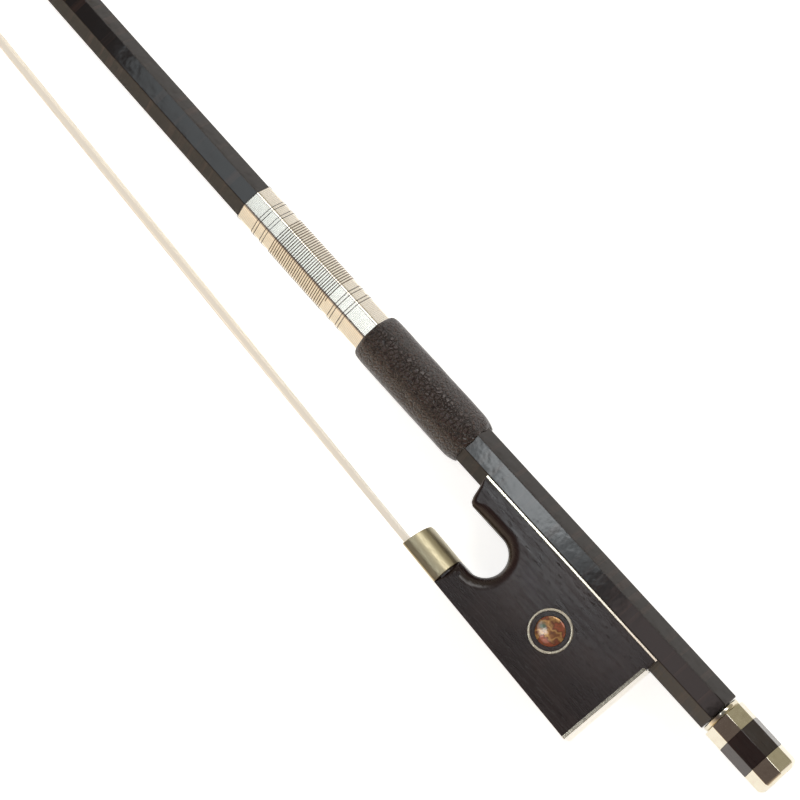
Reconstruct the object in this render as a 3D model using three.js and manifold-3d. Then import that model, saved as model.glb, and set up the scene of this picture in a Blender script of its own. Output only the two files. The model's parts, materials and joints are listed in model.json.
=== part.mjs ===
// A full-size violin bow: a carbon-fibre stick, a frog that slides on it, the screw and button that pull
// the frog back, and the hair between the frog and the head. Millimetres, lying on its side.
//
// Inside the bow group, x runs along the handle and is 0 where the button starts, positive on the
// button. y is 0 on the handle's centre line, positive on the stick's back and negative on the hair's side.
// z is 0 in the bow's own plane. The group is then moved so that the origin is below the middle of the bow.
import * as THREE from "three";
import { mergeVertices } from "three/addons/utils/BufferGeometryUtils.js";
import Module from "manifold-3d";

// Driving dimensions
const FIT = 0.05; // clearance between pieces that fit each other
const HANDLE_FLATS = 8.6; // the octagonal handle, across flats
const HANDLE_FRONT = -66; // the handle starts to taper here
const WAIST_X = -182;
const WAIST_FLATS = 7.9;
const NECK_X = -700; // where the stick runs into the head
const NECK_WIDTH = 5.4;
const CAMBER_START = -45;
const SCREW_PITCH = 0.7056; // 36 turns to the inch
const SCREW_TURNS = 11;
const TRAVEL = SCREW_PITCH * SCREW_TURNS;
const SCREW_RADIUS = 1.45;
const SCREW_FRONT = -67.5;
const BORE_RADIUS = 1.6;
const BORE_FRONT = -70;
const NIPPLE_RADIUS = 2.6; // the stick's short spigot inside the button's collar
const NIPPLE_LENGTH = 2.4;
const EYELET_X = -36; // at rest, where the frog is furthest from the button
const EYELET_HEAD_RADIUS = 2.1;
const EYELET_SHANK_RADIUS = 1.7;
const SLOT_HALF = 2.3; // the slot under the handle that the eyelet's head runs in
const SLOT_TOP = 2.7;
const SLOT_ROOM = 3; // from the eyelet's centre to the slot's end
const BUTTON_FLATS = 8.52;
const BUTTON_TURN = -12.5; // degrees, the button's facets against the stick's
const FROG_FRONT = -60.85;
const FROG_REAR_TOP = -14.3;
const FROG_REAR_BOTTOM = -14.95;
const RAIL_TOP = -2.35;
const RAIL_HALF_WIDTH = 4.9;
const SOLE_HALF_WIDTH = 6.6; // the frog's half width at its sole
const SOLE_SLOPE = -0.041; // the sole drops away from the stick towards the heel
const SOLE_FRONT = -61.9;
const SOLE_FRONT_Y = -22.23;
const SHEET = 0.4; // metal sheet of the underslide and the ferrule
const UNDERSLIDE_PROUD = 0.35; // its edges stand above the frog's rails
const THROAT_RADIUS = 4.27;
const THROAT_X = -50.24;
const THROAT_Y = -12.25;
const FERRULE_REAR = -52.54;
const FERRULE_HALF = 6.5;
const FERRULE_LEAN = 0.123; // how far its front edge leans back for each millimetre of height
const HEEL_SHEET = 0.4;
const HEEL_TOP = -4.6;
const HEEL_SOLE_FRONT = -23.2;
const SLIDE_FRONT = -51.4;
const SLIDE_REAR = -24.4;
const SLIDE_HALF = 3.9;
const SLIDE_THICK = 1.35;
const PEARL_SHEET = 0.75;
const EYE_X = -31.34;
const EYE_Y = -12.82;
const EYE_RING_RADIUS = 4.3;
const EYE_RING_BAND = 0.62;
const RING_DEPTH = 1.2;
const PEARL_RADIUS = 2.85;
const PEARL_DEPTH = 1;
const HAIR_WIDTH = 10;
const HAIR_THICK = 0.9;
const HAIR_FROG = new THREE.Vector2(-61.3, -21.35); // middle of the hair at the ferrule's mouth
const HAIR_HEAD = new THREE.Vector2(-712.3, 10); // and where it goes up into the head
const HEAD_ROOT = -694;
const HEAD_BACK = -704.5;
const NOSE = -728.8;
const NOSE_CURVE = 1.2; // how far back the nose's rounding reaches
const NOSE_HALF = 2.1;
const NOSE_RISE_X = -722; // the head plate curls up towards the nose from here
const NOSE_RISE = 0.012;
const MORTISE_BACK = -711.2;
const MORTISE_FRONT = -721.5;
const MORTISE_TOP = 17;
const MORTISE_HALF = 3.5;
const MORTISE_TAPER = 0.9;
const PLATE_HALF = 5.2;
const PLATE_BACK_Y = 10.35; // the head plate's outer face at its back end
const PLATE_THICK = 1.1;
const LINER_THICK = 0.55;

const wasm = await Module();
wasm.setup();

// Solids from geometries, and back
function solid(geometry) {
  const bare = geometry.clone();
  bare.deleteAttribute("normal");
  bare.deleteAttribute("uv");
  const merged = mergeVertices(bare, 1e-4);
  const vertProperties = new Float32Array(merged.attributes.position.array);
  const triVerts = new Uint32Array(merged.index.array);
  const make = () => new wasm.Manifold(new wasm.Mesh({ numProp: 3, vertProperties, triVerts }));
  const made = make();
  if (made.volume() > 0) return made;
  triVerts.reverse(); // a mirrored shape, or a profile drawn the other way round
  return make();
}

function surface(made) {
  const mesh = made.getMesh();
  const geometry = new THREE.BufferGeometry();
  geometry.setAttribute("position", new THREE.BufferAttribute(mesh.vertProperties, 3));
  geometry.setIndex(new THREE.BufferAttribute(mesh.triVerts, 1));
  geometry.computeVertexNormals();
  return geometry;
}

// Outlines
const points = (list) => new THREE.Shape(list.map(([x, y]) => new THREE.Vector2(x, y)));
const degrees = THREE.MathUtils.degToRad;
const lerp = THREE.MathUtils.lerp;

// A side outline in x and y, extruded evenly about z = 0.
function plate(outline, halfWidth, curveSegments = 8) {
  const depth = 2 * halfWidth;
  const geometry = new THREE.ExtrudeGeometry(outline, { depth, bevelEnabled: false, curveSegments });
  return geometry.translate(0, 0, -halfWidth);
}

// A cross-section drawn in z and y, extruded along x from x0 to x1. shift moves each point on.
function bar(section, x0, x1, shift = null, curveSegments = 8) {
  const depth = x1 - x0;
  const geometry = new THREE.ExtrudeGeometry(section, { depth, bevelEnabled: false, curveSegments });
  geometry.rotateY(-Math.PI / 2);
  geometry.translate(x1, 0, 0);
  return shift ? reshape(geometry, shift) : geometry;
}

// A plan outline in x and z, extruded along y from y0 to y1.
function slab(plan, y0, y1, curveSegments = 8) {
  const depth = y1 - y0;
  const geometry = new THREE.ExtrudeGeometry(plan, { depth, bevelEnabled: false, curveSegments });
  geometry.rotateX(Math.PI / 2);
  return geometry.translate(0, y1, 0);
}

// Moves each vertex by a rule that gets and changes a Vector3.
function reshape(geometry, rule) {
  const position = geometry.attributes.position;
  const v = new THREE.Vector3();
  for (let i = 0; i < position.count; i++) {
    rule(v.fromBufferAttribute(position, i));
    position.setXYZ(i, v.x, v.y, v.z);
  }
  return geometry;
}

// A turned piece about the x axis: pairs of x and radius, a profile that starts and ends on the axis
// or closes on itself.
function turned(profile, sides = 24) {
  const outline = profile.map(([x, radius]) => new THREE.Vector2(radius, x));
  const geometry = new THREE.LatheGeometry(outline, sides);
  return geometry.rotateZ(-Math.PI / 2);
}

const rodProfile = (x0, x1, radius) => [
  [x0, 0],
  [x0, radius],
  [x1, radius],
  [x1, 0],
];

const lathed = (profile, sides = 24) => solid(turned(profile, sides));

// The stick's centre line and thickness
function camber(x) {
  const u = Math.max(0, CAMBER_START - x);
  return 5.5e-5 * u ** 2 + 2.78e-8 * u ** 3;
}

function flats(x) {
  if (x >= HANDLE_FRONT) return HANDLE_FLATS;
  if (x >= WAIST_X) {
    return lerp(HANDLE_FLATS, WAIST_FLATS, (HANDLE_FRONT - x) / (HANDLE_FRONT - WAIST_X));
  }
  const t = Math.min(1, (WAIST_X - x) / (WAIST_X - NECK_X));
  return lerp(WAIST_FLATS, NECK_WIDTH, t ** 1.25);
}

// How round the section is: 0 an octagon, 1 a circle.
const roundness = (x) => THREE.MathUtils.clamp((WAIST_X - 5 - x) / 40, 0, 1);

// A rod that follows the stick's centre line through the given stations. extra is added to its radius.
function along(stations, extra = 0) {
  const sides = 16;
  const steps = stations.length - 1;
  const geometry = new THREE.CylinderGeometry(1, 1, steps, sides, steps);
  geometry.rotateZ(Math.PI / 2);
  return reshape(geometry.toNonIndexed(), (v) => {
    const x = stations[Math.round(v.x + steps / 2)];
    const onAxis = Math.hypot(v.y, v.z) < 0.5;
    const turn = Math.round((Math.atan2(v.z, v.y) * sides) / (2 * Math.PI));
    const angle = (turn * 2 * Math.PI) / sides;
    const apothem = flats(x) / 2 + extra;
    const corner = apothem / (turn % 2 ? Math.cos(Math.PI / 8) : 1);
    const radius = onAxis ? 0 : lerp(corner, apothem, roundness(x));
    v.set(x, camber(x) + radius * Math.cos(angle), radius * Math.sin(angle));
  });
}

function octagon(apothem, turn = 0) {
  const radius = apothem / Math.cos(Math.PI / 8);
  return points(
    Array.from({ length: 8 }, (_, i) => {
      const angle = degrees(22.5 + 45 * i + turn);
      return [radius * Math.cos(angle), radius * Math.sin(angle)];
    }),
  );
}

// The three lower facets of an octagon with this apothem, from rail to rail.
const bevelReach = (apothem, y) => apothem * (1 + Math.tan(Math.PI / 8)) + y;
const facetHalf = (apothem) => apothem * Math.tan(Math.PI / 8);

// The sole line and the hair line
const sole = (x) => SOLE_FRONT_Y + SOLE_SLOPE * (x - SOLE_FRONT);
const onSole = (v) => {
  v.y += sole(v.x);
};
const hairSlope = (HAIR_HEAD.y - HAIR_FROG.y) / (HAIR_HEAD.x - HAIR_FROG.x);
function plateFace(x) {
  const rise = Math.max(0, NOSE_RISE_X - x);
  return PLATE_BACK_Y + hairSlope * (x - HEAD_BACK) + NOSE_RISE * rise ** 2;
}

// The frog's side face leans out towards the sole.
const sideSlope = (SOLE_HALF_WIDTH - RAIL_HALF_WIDTH) / (RAIL_TOP - sole(FROG_REAR_TOP));
const sideZ = (y) => RAIL_HALF_WIDTH + (RAIL_TOP - y) * sideSlope;

// Materials
const finish = (color, roughness, metalness = 0) =>
  new THREE.MeshStandardMaterial({ color, roughness, metalness });
const carbon = () => finish(0x2a2523, 0.35);
const ebony = () => finish(0x1c1716, 0.5);
const leather = () => finish(0x2b1c1a, 0.7);
const nickel = () => finish(0xcfc7ae, 0.25, 1);
const steel = () => finish(0x9a9a98, 0.35, 1);
const brass = () => finish(0xb8934a, 0.35, 1);
const pearl = () => finish(0x5f4a33, 0.2);
const maple = () => finish(0xc9a878, 0.7);
const hair = () => finish(0xe9ddc6, 0.6);
const thread = () => finish(0x8a2d2a, 0.8);
const bone = () => finish(0xefe9dc, 0.4);

const bow = new THREE.Group();

function add(name, shape, material, parent = bow) {
  const mesh = new THREE.Mesh(shape.isBufferGeometry ? shape : surface(shape), material);
  mesh.name = name;
  parent.add(mesh);
  return mesh;
}

// Stick and head: one moulding
const PLATE_STATIONS = [NOSE, NOSE + NOSE_CURVE, -725.5, -723.7, NOSE_RISE_X, HEAD_BACK];
const BELOW_HEAD = 5; // heights that clear the head, for the solids that cut it
const ABOVE_HEAD = 40;
const OUTSIDE_HEAD = 6;
function headSolid() {
  const face = (x) => plateFace(x) + PLATE_THICK + LINER_THICK + 2 * FIT;
  const root = HEAD_ROOT;
  const top = camber(root) + flats(root) / 2;
  const underside = camber(root) - flats(root) / 2;
  const profile = new THREE.Shape();
  profile.moveTo(root, top);
  profile.bezierCurveTo(-700, top + 0.7, -706.5, 35.4, -711.2, 32.6);
  profile.bezierCurveTo(-717.5, 28.6, -719.5, 19, NOSE + 0.3, face(NOSE) + 0.4);
  for (const x of PLATE_STATIONS.slice(1)) profile.lineTo(x, face(x));
  profile.bezierCurveTo(HEAD_BACK - 1, 20, HEAD_BACK, 27.2, root, underside);

  const plan = plateOutline();
  plan.lineTo(root, PLATE_HALF);
  plan.lineTo(root, -PLATE_HALF);

  const endOn = new THREE.Shape();
  endOn.moveTo(5.3, 10);
  endOn.bezierCurveTo(4.7, 15, 3.1, 20, 2.9, 26);
  endOn.lineTo(2.7, 31);
  endOn.lineTo(1.6, 36);
  endOn.lineTo(-1.6, 36);
  endOn.lineTo(-2.7, 31);
  endOn.lineTo(-2.9, 26);
  endOn.bezierCurveTo(-3.1, 20, -4.7, 15, -5.3, 10);

  return solid(plate(profile, OUTSIDE_HEAD, 10))
    .intersect(solid(slab(plan, BELOW_HEAD, ABOVE_HEAD)))
    .intersect(solid(bar(endOn, NOSE - OUTSIDE_HEAD, root + 1)));
}

// The head plate in plan: square at its back end and drawn in to a blunt nose.
function plateOutline() {
  const outline = new THREE.Shape();
  const back = HEAD_BACK;
  outline.moveTo(back, -PLATE_HALF);
  outline.bezierCurveTo(back - 9, -4.9, back - 18, -4.0, NOSE + NOSE_CURVE, -NOSE_HALF);
  outline.quadraticCurveTo(NOSE, -1.6, NOSE, 0);
  outline.quadraticCurveTo(NOSE, 1.6, NOSE + NOSE_CURVE, NOSE_HALF);
  outline.bezierCurveTo(back - 18, 4.0, back - 9, 4.9, back, PLATE_HALF);
  return outline;
}

// The head's mortise, also the opening in its plate.
function headMortise() {
  const plan = points([
    [MORTISE_FRONT, -MORTISE_HALF + MORTISE_TAPER],
    [MORTISE_BACK, -MORTISE_HALF],
    [MORTISE_BACK, MORTISE_HALF],
    [MORTISE_FRONT, MORTISE_HALF - MORTISE_TAPER],
  ]);
  return solid(slab(plan, BELOW_HEAD, MORTISE_TOP));
}

function stickSolid() {
  const stations = [0, CAMBER_START, HANDLE_FRONT, -97, -132, -158, WAIST_X - 5, -200, -213, -227];
  for (let x = -250; x > NECK_X; x -= 25) stations.push(x);
  stations.push(NECK_X);
  const rod = solid(along(stations.reverse()));
  const nipple = lathed(rodProfile(-1, NIPPLE_LENGTH, NIPPLE_RADIUS));
  const bore = lathed(rodProfile(BORE_FRONT, 4, BORE_RADIUS));
  const slotFront = EYELET_X - SLOT_ROOM;
  const slotRear = EYELET_X + SLOT_ROOM + TRAVEL + 0.6;
  const slot = points([
    [slotFront, -HANDLE_FLATS],
    [slotRear, -HANDLE_FLATS],
    [slotRear, SLOT_TOP],
    [slotFront, SLOT_TOP],
  ]);
  return rod
    .add(headSolid())
    .add(nipple)
    .subtract(bore)
    .subtract(solid(plate(slot, SLOT_HALF)))
    .subtract(headMortise());
}

add("stick", stickSolid(), carbon());

// Head plate, its liner, and what holds the hair in the head
function headSheet(outer, inner) {
  const low = PLATE_STATIONS.map((x) => [x, plateFace(x) + outer]);
  const high = PLATE_STATIONS.map((x) => [x, plateFace(x) + inner]).reverse();
  const side = solid(plate(points([...low, ...high]), OUTSIDE_HEAD));
  return side.intersect(solid(slab(plateOutline(), BELOW_HEAD, ABOVE_HEAD))).subtract(headMortise());
}
add("tip_plate", headSheet(0, PLATE_THICK), bone());
add("tip_liner", headSheet(PLATE_THICK + FIT, PLATE_THICK + FIT + LINER_THICK), ebony());

const tipPlug = points([
  [MORTISE_FRONT + 0.3, plateFace(MORTISE_FRONT) + 0.3],
  [MORTISE_BACK - 1.9, plateFace(MORTISE_BACK) + 0.3],
  [MORTISE_BACK - 3.2, MORTISE_TOP - 0.3],
  [MORTISE_FRONT + 0.3, MORTISE_TOP - 0.3],
]);
add("tip_plug", plate(tipPlug, MORTISE_HALF - MORTISE_TAPER - 0.4), maple());

// The tied end of the hair turns up into the mortise behind the plug.
const tipKnot = points([
  [MORTISE_BACK - 0.3, HAIR_HEAD.y - HAIR_THICK / 2 + 0.1],
  [MORTISE_BACK - 0.3, MORTISE_TOP - 0.3],
  [MORTISE_BACK - 2.8, MORTISE_TOP - 0.3],
  [MORTISE_BACK - 1.7, HAIR_HEAD.y - HAIR_THICK / 2 + 0.1],
]);
add("tip_hair_knot", plate(tipKnot, 3.0), hair());

// Winding and leather grip, both wrapped round the tapering octagon
function sleeve(x0, x1, wall, steps = 2) {
  const stations = Array.from({ length: steps + 1 }, (_, i) => lerp(x0, x1, i / steps));
  const past = [x0 - 1, ...stations.slice(1, -1), x1 + 1];
  return solid(along(stations, wall)).subtract(solid(along(past, FIT)));
}
const WINDING_FRONT = -132.05;
const WINDING_REAR = -96.6;
add("winding", sleeve(WINDING_FRONT, WINDING_REAR, FIT + 0.22), nickel());

const GRIP_FRONT = -96.5;
const GRIP_REAR = -67.7;
const GRIP_RADIUS = 5.38;
function gripSolid() {
  const turn = new THREE.Path();
  turn.moveTo(0, GRIP_FRONT);
  turn.lineTo(4.6, GRIP_FRONT);
  turn.bezierCurveTo(5.1, GRIP_FRONT + 0.5, GRIP_RADIUS, GRIP_FRONT + 1.6, GRIP_RADIUS, GRIP_FRONT + 3.4);
  turn.lineTo(GRIP_RADIUS, GRIP_REAR - 3);
  turn.bezierCurveTo(GRIP_RADIUS, GRIP_REAR - 1.2, 5.1, GRIP_REAR - 0.3, 4.85, GRIP_REAR);
  turn.lineTo(0, GRIP_REAR);
  const middle = (camber(GRIP_FRONT) + camber(GRIP_REAR)) / 2;
  const outside = new THREE.LatheGeometry(turn.getPoints(4), 32);
  outside.rotateZ(-Math.PI / 2);
  outside.translate(0, middle, 0);
  const past = [GRIP_FRONT - 1, -82, GRIP_REAR + 1];
  return solid(outside).subtract(solid(along(past, FIT)));
}
add("thumb_leather", gripSolid(), leather());

// The frog: everything in this group slides on the stick
const frog = new THREE.Group();
bow.add(frog);

const TONGUE_INSET = SHEET + 2 * FIT;
const WEDGE_LOW = SHEET + 1.3; // heights above the sole, over the hair inside the ferrule
const WEDGE_HIGH = WEDGE_LOW + 1.1;
const tongueTop = THROAT_Y - THROAT_RADIUS;

function frogOutline() {
  const outline = new THREE.Shape();
  const rearTop = FROG_REAR_TOP - HEEL_SHEET - FIT;
  outline.moveTo(FROG_FRONT, 0);
  outline.lineTo(FROG_FRONT, RAIL_TOP);
  outline.lineTo(-59.36, THROAT_Y + THROAT_RADIUS);
  outline.lineTo(THROAT_X, THROAT_Y + THROAT_RADIUS);
  outline.absarc(THROAT_X, THROAT_Y, THROAT_RADIUS, Math.PI / 2, -Math.PI / 2, true);
  outline.lineTo(FERRULE_REAR, tongueTop);
  outline.lineTo(FERRULE_REAR, tongueTop - TONGUE_INSET - 0.1);
  outline.lineTo(-61, tongueTop - TONGUE_INSET - 0.1);
  outline.lineTo(-61, sole(-61) + WEDGE_HIGH + 2 * FIT);
  outline.lineTo(FERRULE_REAR, sole(FERRULE_REAR) + WEDGE_HIGH + 2 * FIT);
  outline.lineTo(FERRULE_REAR, sole(FERRULE_REAR));
  outline.lineTo(HEEL_SOLE_FRONT, sole(HEEL_SOLE_FRONT));
  outline.lineTo(HEEL_SOLE_FRONT, sole(HEEL_SOLE_FRONT) + HEEL_SHEET + FIT);
  outline.lineTo(FROG_REAR_BOTTOM - HEEL_SHEET - FIT, sole(FROG_REAR_BOTTOM) + HEEL_SHEET + FIT);
  outline.lineTo(rearTop, HEEL_TOP);
  outline.lineTo(FROG_REAR_TOP, HEEL_TOP);
  outline.lineTo(FROG_REAR_TOP, 0);
  return outline;
}

// The whole frog end-on: a channel for the lower half of the octagon, and sides that lean out.
function frogSection() {
  const channel = HANDLE_FLATS / 2 + FIT + SHEET + FIT;
  const railInner = bevelReach(channel, RAIL_TOP);
  const low = -30;
  return points([
    [railInner, RAIL_TOP],
    [facetHalf(channel), -channel],
    [-facetHalf(channel), -channel],
    [-railInner, RAIL_TOP],
    [-RAIL_HALF_WIDTH, RAIL_TOP],
    [-sideZ(low), low],
    [sideZ(low), low],
    [RAIL_HALF_WIDTH, RAIL_TOP],
  ]);
}

// The frog's rear face, from its top edge to the sole.
function heelRear(y) {
  const t = (y - HEEL_TOP) / (sole(FROG_REAR_BOTTOM) - HEEL_TOP);
  return lerp(FROG_REAR_TOP, FROG_REAR_BOTTOM, t);
}

// A D shape, flat at its sole and domed above, drawn with y = 0 on the sole.
function dShape(half, height, base = 0) {
  const outline = new THREE.Shape();
  const shoulder = 1.5;
  outline.moveTo(-half, base);
  outline.lineTo(half, base);
  outline.lineTo(half, shoulder);
  outline.bezierCurveTo(half, height * 0.72, half * 0.72, height, half * 0.3, height);
  outline.lineTo(-half * 0.3, height);
  outline.bezierCurveTo(-half * 0.72, height, -half, height * 0.72, -half, shoulder);
  return outline;
}

const FERRULE_HEIGHT = tongueTop - sole(FERRULE_REAR);
const MORTISE = { front: -44.5, rear: -33.5, top: -18.3, half: 4.2 };
const HAIR_HALF_FROG = 3.6; // the hair is drawn in to this half width inside the frog
const HAIR_BED_TOP = SLIDE_THICK + 2.2;
const SIDES = ["left", "right"];

// An upright turned piece on one side face of the frog, its axis square to that face.
function onSide(side, profile, sides = 32) {
  const outline = profile.map(([height, radius]) => new THREE.Vector2(radius, height));
  const geometry = new THREE.LatheGeometry(outline, sides);
  geometry.rotateX(Math.PI / 2 - Math.atan(sideSlope));
  geometry.translate(EYE_X, EYE_Y, sideZ(EYE_Y));
  return side === "right" ? geometry.scale(1, 1, -1) : geometry;
}

function closedRing(inner, outer, low, high) {
  return [
    [low, inner],
    [low, outer],
    [high, outer],
    [high, inner],
    [low, inner],
  ];
}
const disc = (radius, low, high) => [
  [low, 0],
  [low, radius],
  [high, radius],
  [high, 0],
];

const ringInner = EYE_RING_RADIUS - EYE_RING_BAND;

function frogSolid() {
  let body = solid(plate(frogOutline(), 9, 10)).intersect(solid(bar(frogSection(), -70, -10)));
  // the tongue inside the ferrule, rounded above as the ferrule is
  const reach = solid(bar(dShape(20, 60), FERRULE_REAR, 0, onSole));
  const inside = dShape(FERRULE_HALF - TONGUE_INSET, FERRULE_HEIGHT - TONGUE_INSET);
  const lobe = solid(bar(points([[-9, 8], [9, 8], [9, 30], [-9, 30]]), -70, FERRULE_REAR, onSole));
  const tongue = solid(bar(inside, -62, FERRULE_REAR, onSole));
  body = body.intersect(reach.add(lobe).add(tongue));

  // channel for the hair under the slide, its mortise, and the slide's own bed
  const bed = points([
    [-SLIDE_HALF - FIT, -1],
    [SLIDE_HALF + FIT, -1],
    [SLIDE_HALF + FIT, SLIDE_THICK + FIT],
    [-SLIDE_HALF - FIT, SLIDE_THICK + FIT],
  ]);
  const hairChannel = points([
    [-HAIR_HALF_FROG - 0.3, -1],
    [HAIR_HALF_FROG + 0.3, -1],
    [HAIR_HALF_FROG + 0.3, HAIR_BED_TOP],
    [-HAIR_HALF_FROG - 0.3, HAIR_BED_TOP],
  ]);
  const mortise = slab(
    points([
      [MORTISE.front, -MORTISE.half],
      [MORTISE.rear, -MORTISE.half],
      [MORTISE.rear, MORTISE.half],
      [MORTISE.front, MORTISE.half],
    ]),
    -28,
    MORTISE.top,
  );
  body = body
    .subtract(solid(bar(bed, FERRULE_REAR - 1, SLIDE_REAR + FIT, onSole)))
    .subtract(solid(bar(hairChannel, FERRULE_REAR - 1, MORTISE.rear, onSole)))
    .subtract(solid(mortise));

  // the eyelet's threaded hole and the eyes' pockets
  const holeRadius = EYELET_SHANK_RADIUS + 0.1;
  const eyeletHole = new THREE.CylinderGeometry(holeRadius, holeRadius, 10, 20);
  body = body.subtract(solid(eyeletHole.translate(EYELET_X, -9, 0)));
  for (const side of SIDES) {
    const groove = closedRing(ringInner - FIT, EYE_RING_RADIUS + FIT, -RING_DEPTH - FIT, 2);
    body = body
      .subtract(solid(onSide(side, groove)))
      .subtract(solid(onSide(side, disc(PEARL_RADIUS + FIT, -PEARL_DEPTH - FIT, 2))));
  }
  for (const hole of [...underslidePinHoles(), ...heelPinHoles()]) body = body.subtract(hole);
  return body;
}

const UNDERSLIDE_PINS = [-56.8, -18.2];
const PIN_LENGTH = 3;
const PIN_RADIUS = 0.55;
const HEEL_PIN_Y = -13.5;
const HEEL_PIN_X = -19.4;
const HEEL_TILT = Math.atan(SOLE_SLOPE);

// A round pin with its head end at a point, pointing along the given turn from +y towards -x.
function pin(x, y, turn, radius, length) {
  const geometry = new THREE.CylinderGeometry(radius, radius * 0.9, length, 12);
  return geometry.translate(0, -length / 2, 0).rotateZ(turn).translate(x, y, 0);
}
const pinHole = (x, y, turn) => solid(pin(x, y, turn, PIN_RADIUS + FIT, PIN_LENGTH + 0.1));
const underslidePinHoles = () => UNDERSLIDE_PINS.map((x) => pinHole(x, -HANDLE_FLATS / 2 - 0.02, 0));
const heelPinHoles = () => [
  pinHole(heelRear(HEEL_PIN_Y) + 0.05, HEEL_PIN_Y, -Math.PI / 2),
  pinHole(HEEL_PIN_X, sole(HEEL_PIN_X) - 0.05, Math.PI + HEEL_TILT),
];

add("frog_body", frogSolid(), ebony(), frog);

// Underslide: a folded sheet between the stick's three lower facets and the frog
function undersideSheet() {
  const inner = HANDLE_FLATS / 2 + FIT;
  const outer = inner + SHEET;
  const top = RAIL_TOP + UNDERSLIDE_PROUD;
  const section = points([
    [bevelReach(inner, top), top],
    [facetHalf(inner), -inner],
    [-facetHalf(inner), -inner],
    [-bevelReach(inner, top), top],
    [-bevelReach(outer, top), top],
    [-facetHalf(outer), -outer],
    [facetHalf(outer), -outer],
    [bevelReach(outer, top), top],
  ]);
  const holeRadius = EYELET_HEAD_RADIUS + FIT;
  const eyeletHole = new THREE.CylinderGeometry(holeRadius, holeRadius, 4, 24);
  eyeletHole.translate(EYELET_X, -HANDLE_FLATS / 2 - 0.3, 0);
  let sheet = solid(bar(section, FROG_FRONT, FROG_REAR_TOP)).subtract(solid(eyeletHole));
  for (const hole of underslidePinHoles()) sheet = sheet.subtract(hole);
  return sheet;
}
add("underslide", undersideSheet(), nickel(), frog);
["front", "rear"].forEach((end, i) => {
  const head = -HANDLE_FLATS / 2 - 0.1;
  const made = pin(UNDERSLIDE_PINS[i], head, 0, PIN_RADIUS, PIN_LENGTH - 0.1);
  add(`underslide_pin_${end}`, made, nickel(), frog);
});

// Eyelet: a drilled head round the screw and a shank into the frog
function eyeletSolid() {
  const head = new THREE.CylinderGeometry(EYELET_HEAD_RADIUS, EYELET_HEAD_RADIUS, 6.6, 24);
  const shank = new THREE.CylinderGeometry(EYELET_SHANK_RADIUS, EYELET_SHANK_RADIUS, 9, 20);
  const body = solid(head.translate(0, -1, 0)).add(solid(shank.translate(0, -8.5, 0)));
  const through = lathed(rodProfile(-5, 5, SCREW_RADIUS + 0.1));
  return body.subtract(through);
}
add("eyelet", eyeletSolid(), brass(), frog).position.set(EYELET_X, 0, 0);

// Ferrule, the wedge that spreads the hair in it, and the hair's tied end
function ferruleSolid() {
  const outer = dShape(FERRULE_HALF, FERRULE_HEIGHT);
  const inner = dShape(FERRULE_HALF - SHEET, FERRULE_HEIGHT - SHEET, SHEET);
  const leanFront = (v) => {
    const front = v.x < (SOLE_FRONT + FERRULE_REAR) / 2;
    const lean = front ? FERRULE_LEAN * v.y : 0;
    onSole(v);
    v.x += lean;
  };
  return solid(bar(outer, SOLE_FRONT, FERRULE_REAR, leanFront)).subtract(
    solid(bar(inner, SOLE_FRONT - 1, FERRULE_REAR + 1, onSole)),
  );
}
add("ferrule", ferruleSolid(), nickel(), frog);

const wedge = points([
  [-4.9, WEDGE_LOW],
  [4.9, WEDGE_LOW],
  [4.7, WEDGE_HIGH],
  [-4.7, WEDGE_HIGH],
]);
add("ferrule_wedge", solid(bar(wedge, -61.2, -54.9, onSole)), maple(), frog);

function knotSolid() {
  const path = [
    [-60.9, 0.5],
    [-54.7, 0.5],
    [-52.8, SLIDE_THICK + 0.2],
    [MORTISE.front + 2, SLIDE_THICK + 0.2],
  ].map(([x, height]) => [x, sole(x) + height]);
  const back = path.map(([x, y]) => [x, y + 1]).reverse();
  const middle = MORTISE.front + 2.1;
  const low = sole(middle) + SLIDE_THICK + 0.3;
  const high = MORTISE.top - 0.4;
  const knot = new THREE.BoxGeometry(3, high - low, 6.6).translate(middle, (low + high) / 2, 0);
  return solid(plate(points([...path, ...back]), HAIR_HALF_FROG)).add(solid(knot));
}
add("frog_hair_knot", knotSolid(), thread(), frog);

const frogPlug = points([
  [MORTISE.front + 4.2, -18.7],
  [MORTISE.rear - 0.3, -18.7],
  [MORTISE.rear - 0.3, sole(MORTISE.rear) + SLIDE_THICK + 0.2],
  [MORTISE.front + 4.0, sole(MORTISE.front) + SLIDE_THICK + 0.2],
]);
add("frog_plug", plate(frogPlug, 3.9), maple(), frog);

// Slide in the sole: a metal backing with a pearl face
function slidePiece(low, high, half) {
  const section = points([
    [-half, low],
    [half, low],
    [half, high],
    [-half, high],
  ]);
  return solid(bar(section, SLIDE_FRONT - 1, SLIDE_REAR, onSole));
}
add("slide_backing", slidePiece(PEARL_SHEET + FIT, SLIDE_THICK, SLIDE_HALF), nickel(), frog);
add("pearl_slide", slidePiece(0, PEARL_SHEET, SLIDE_HALF), pearl(), frog);

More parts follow.
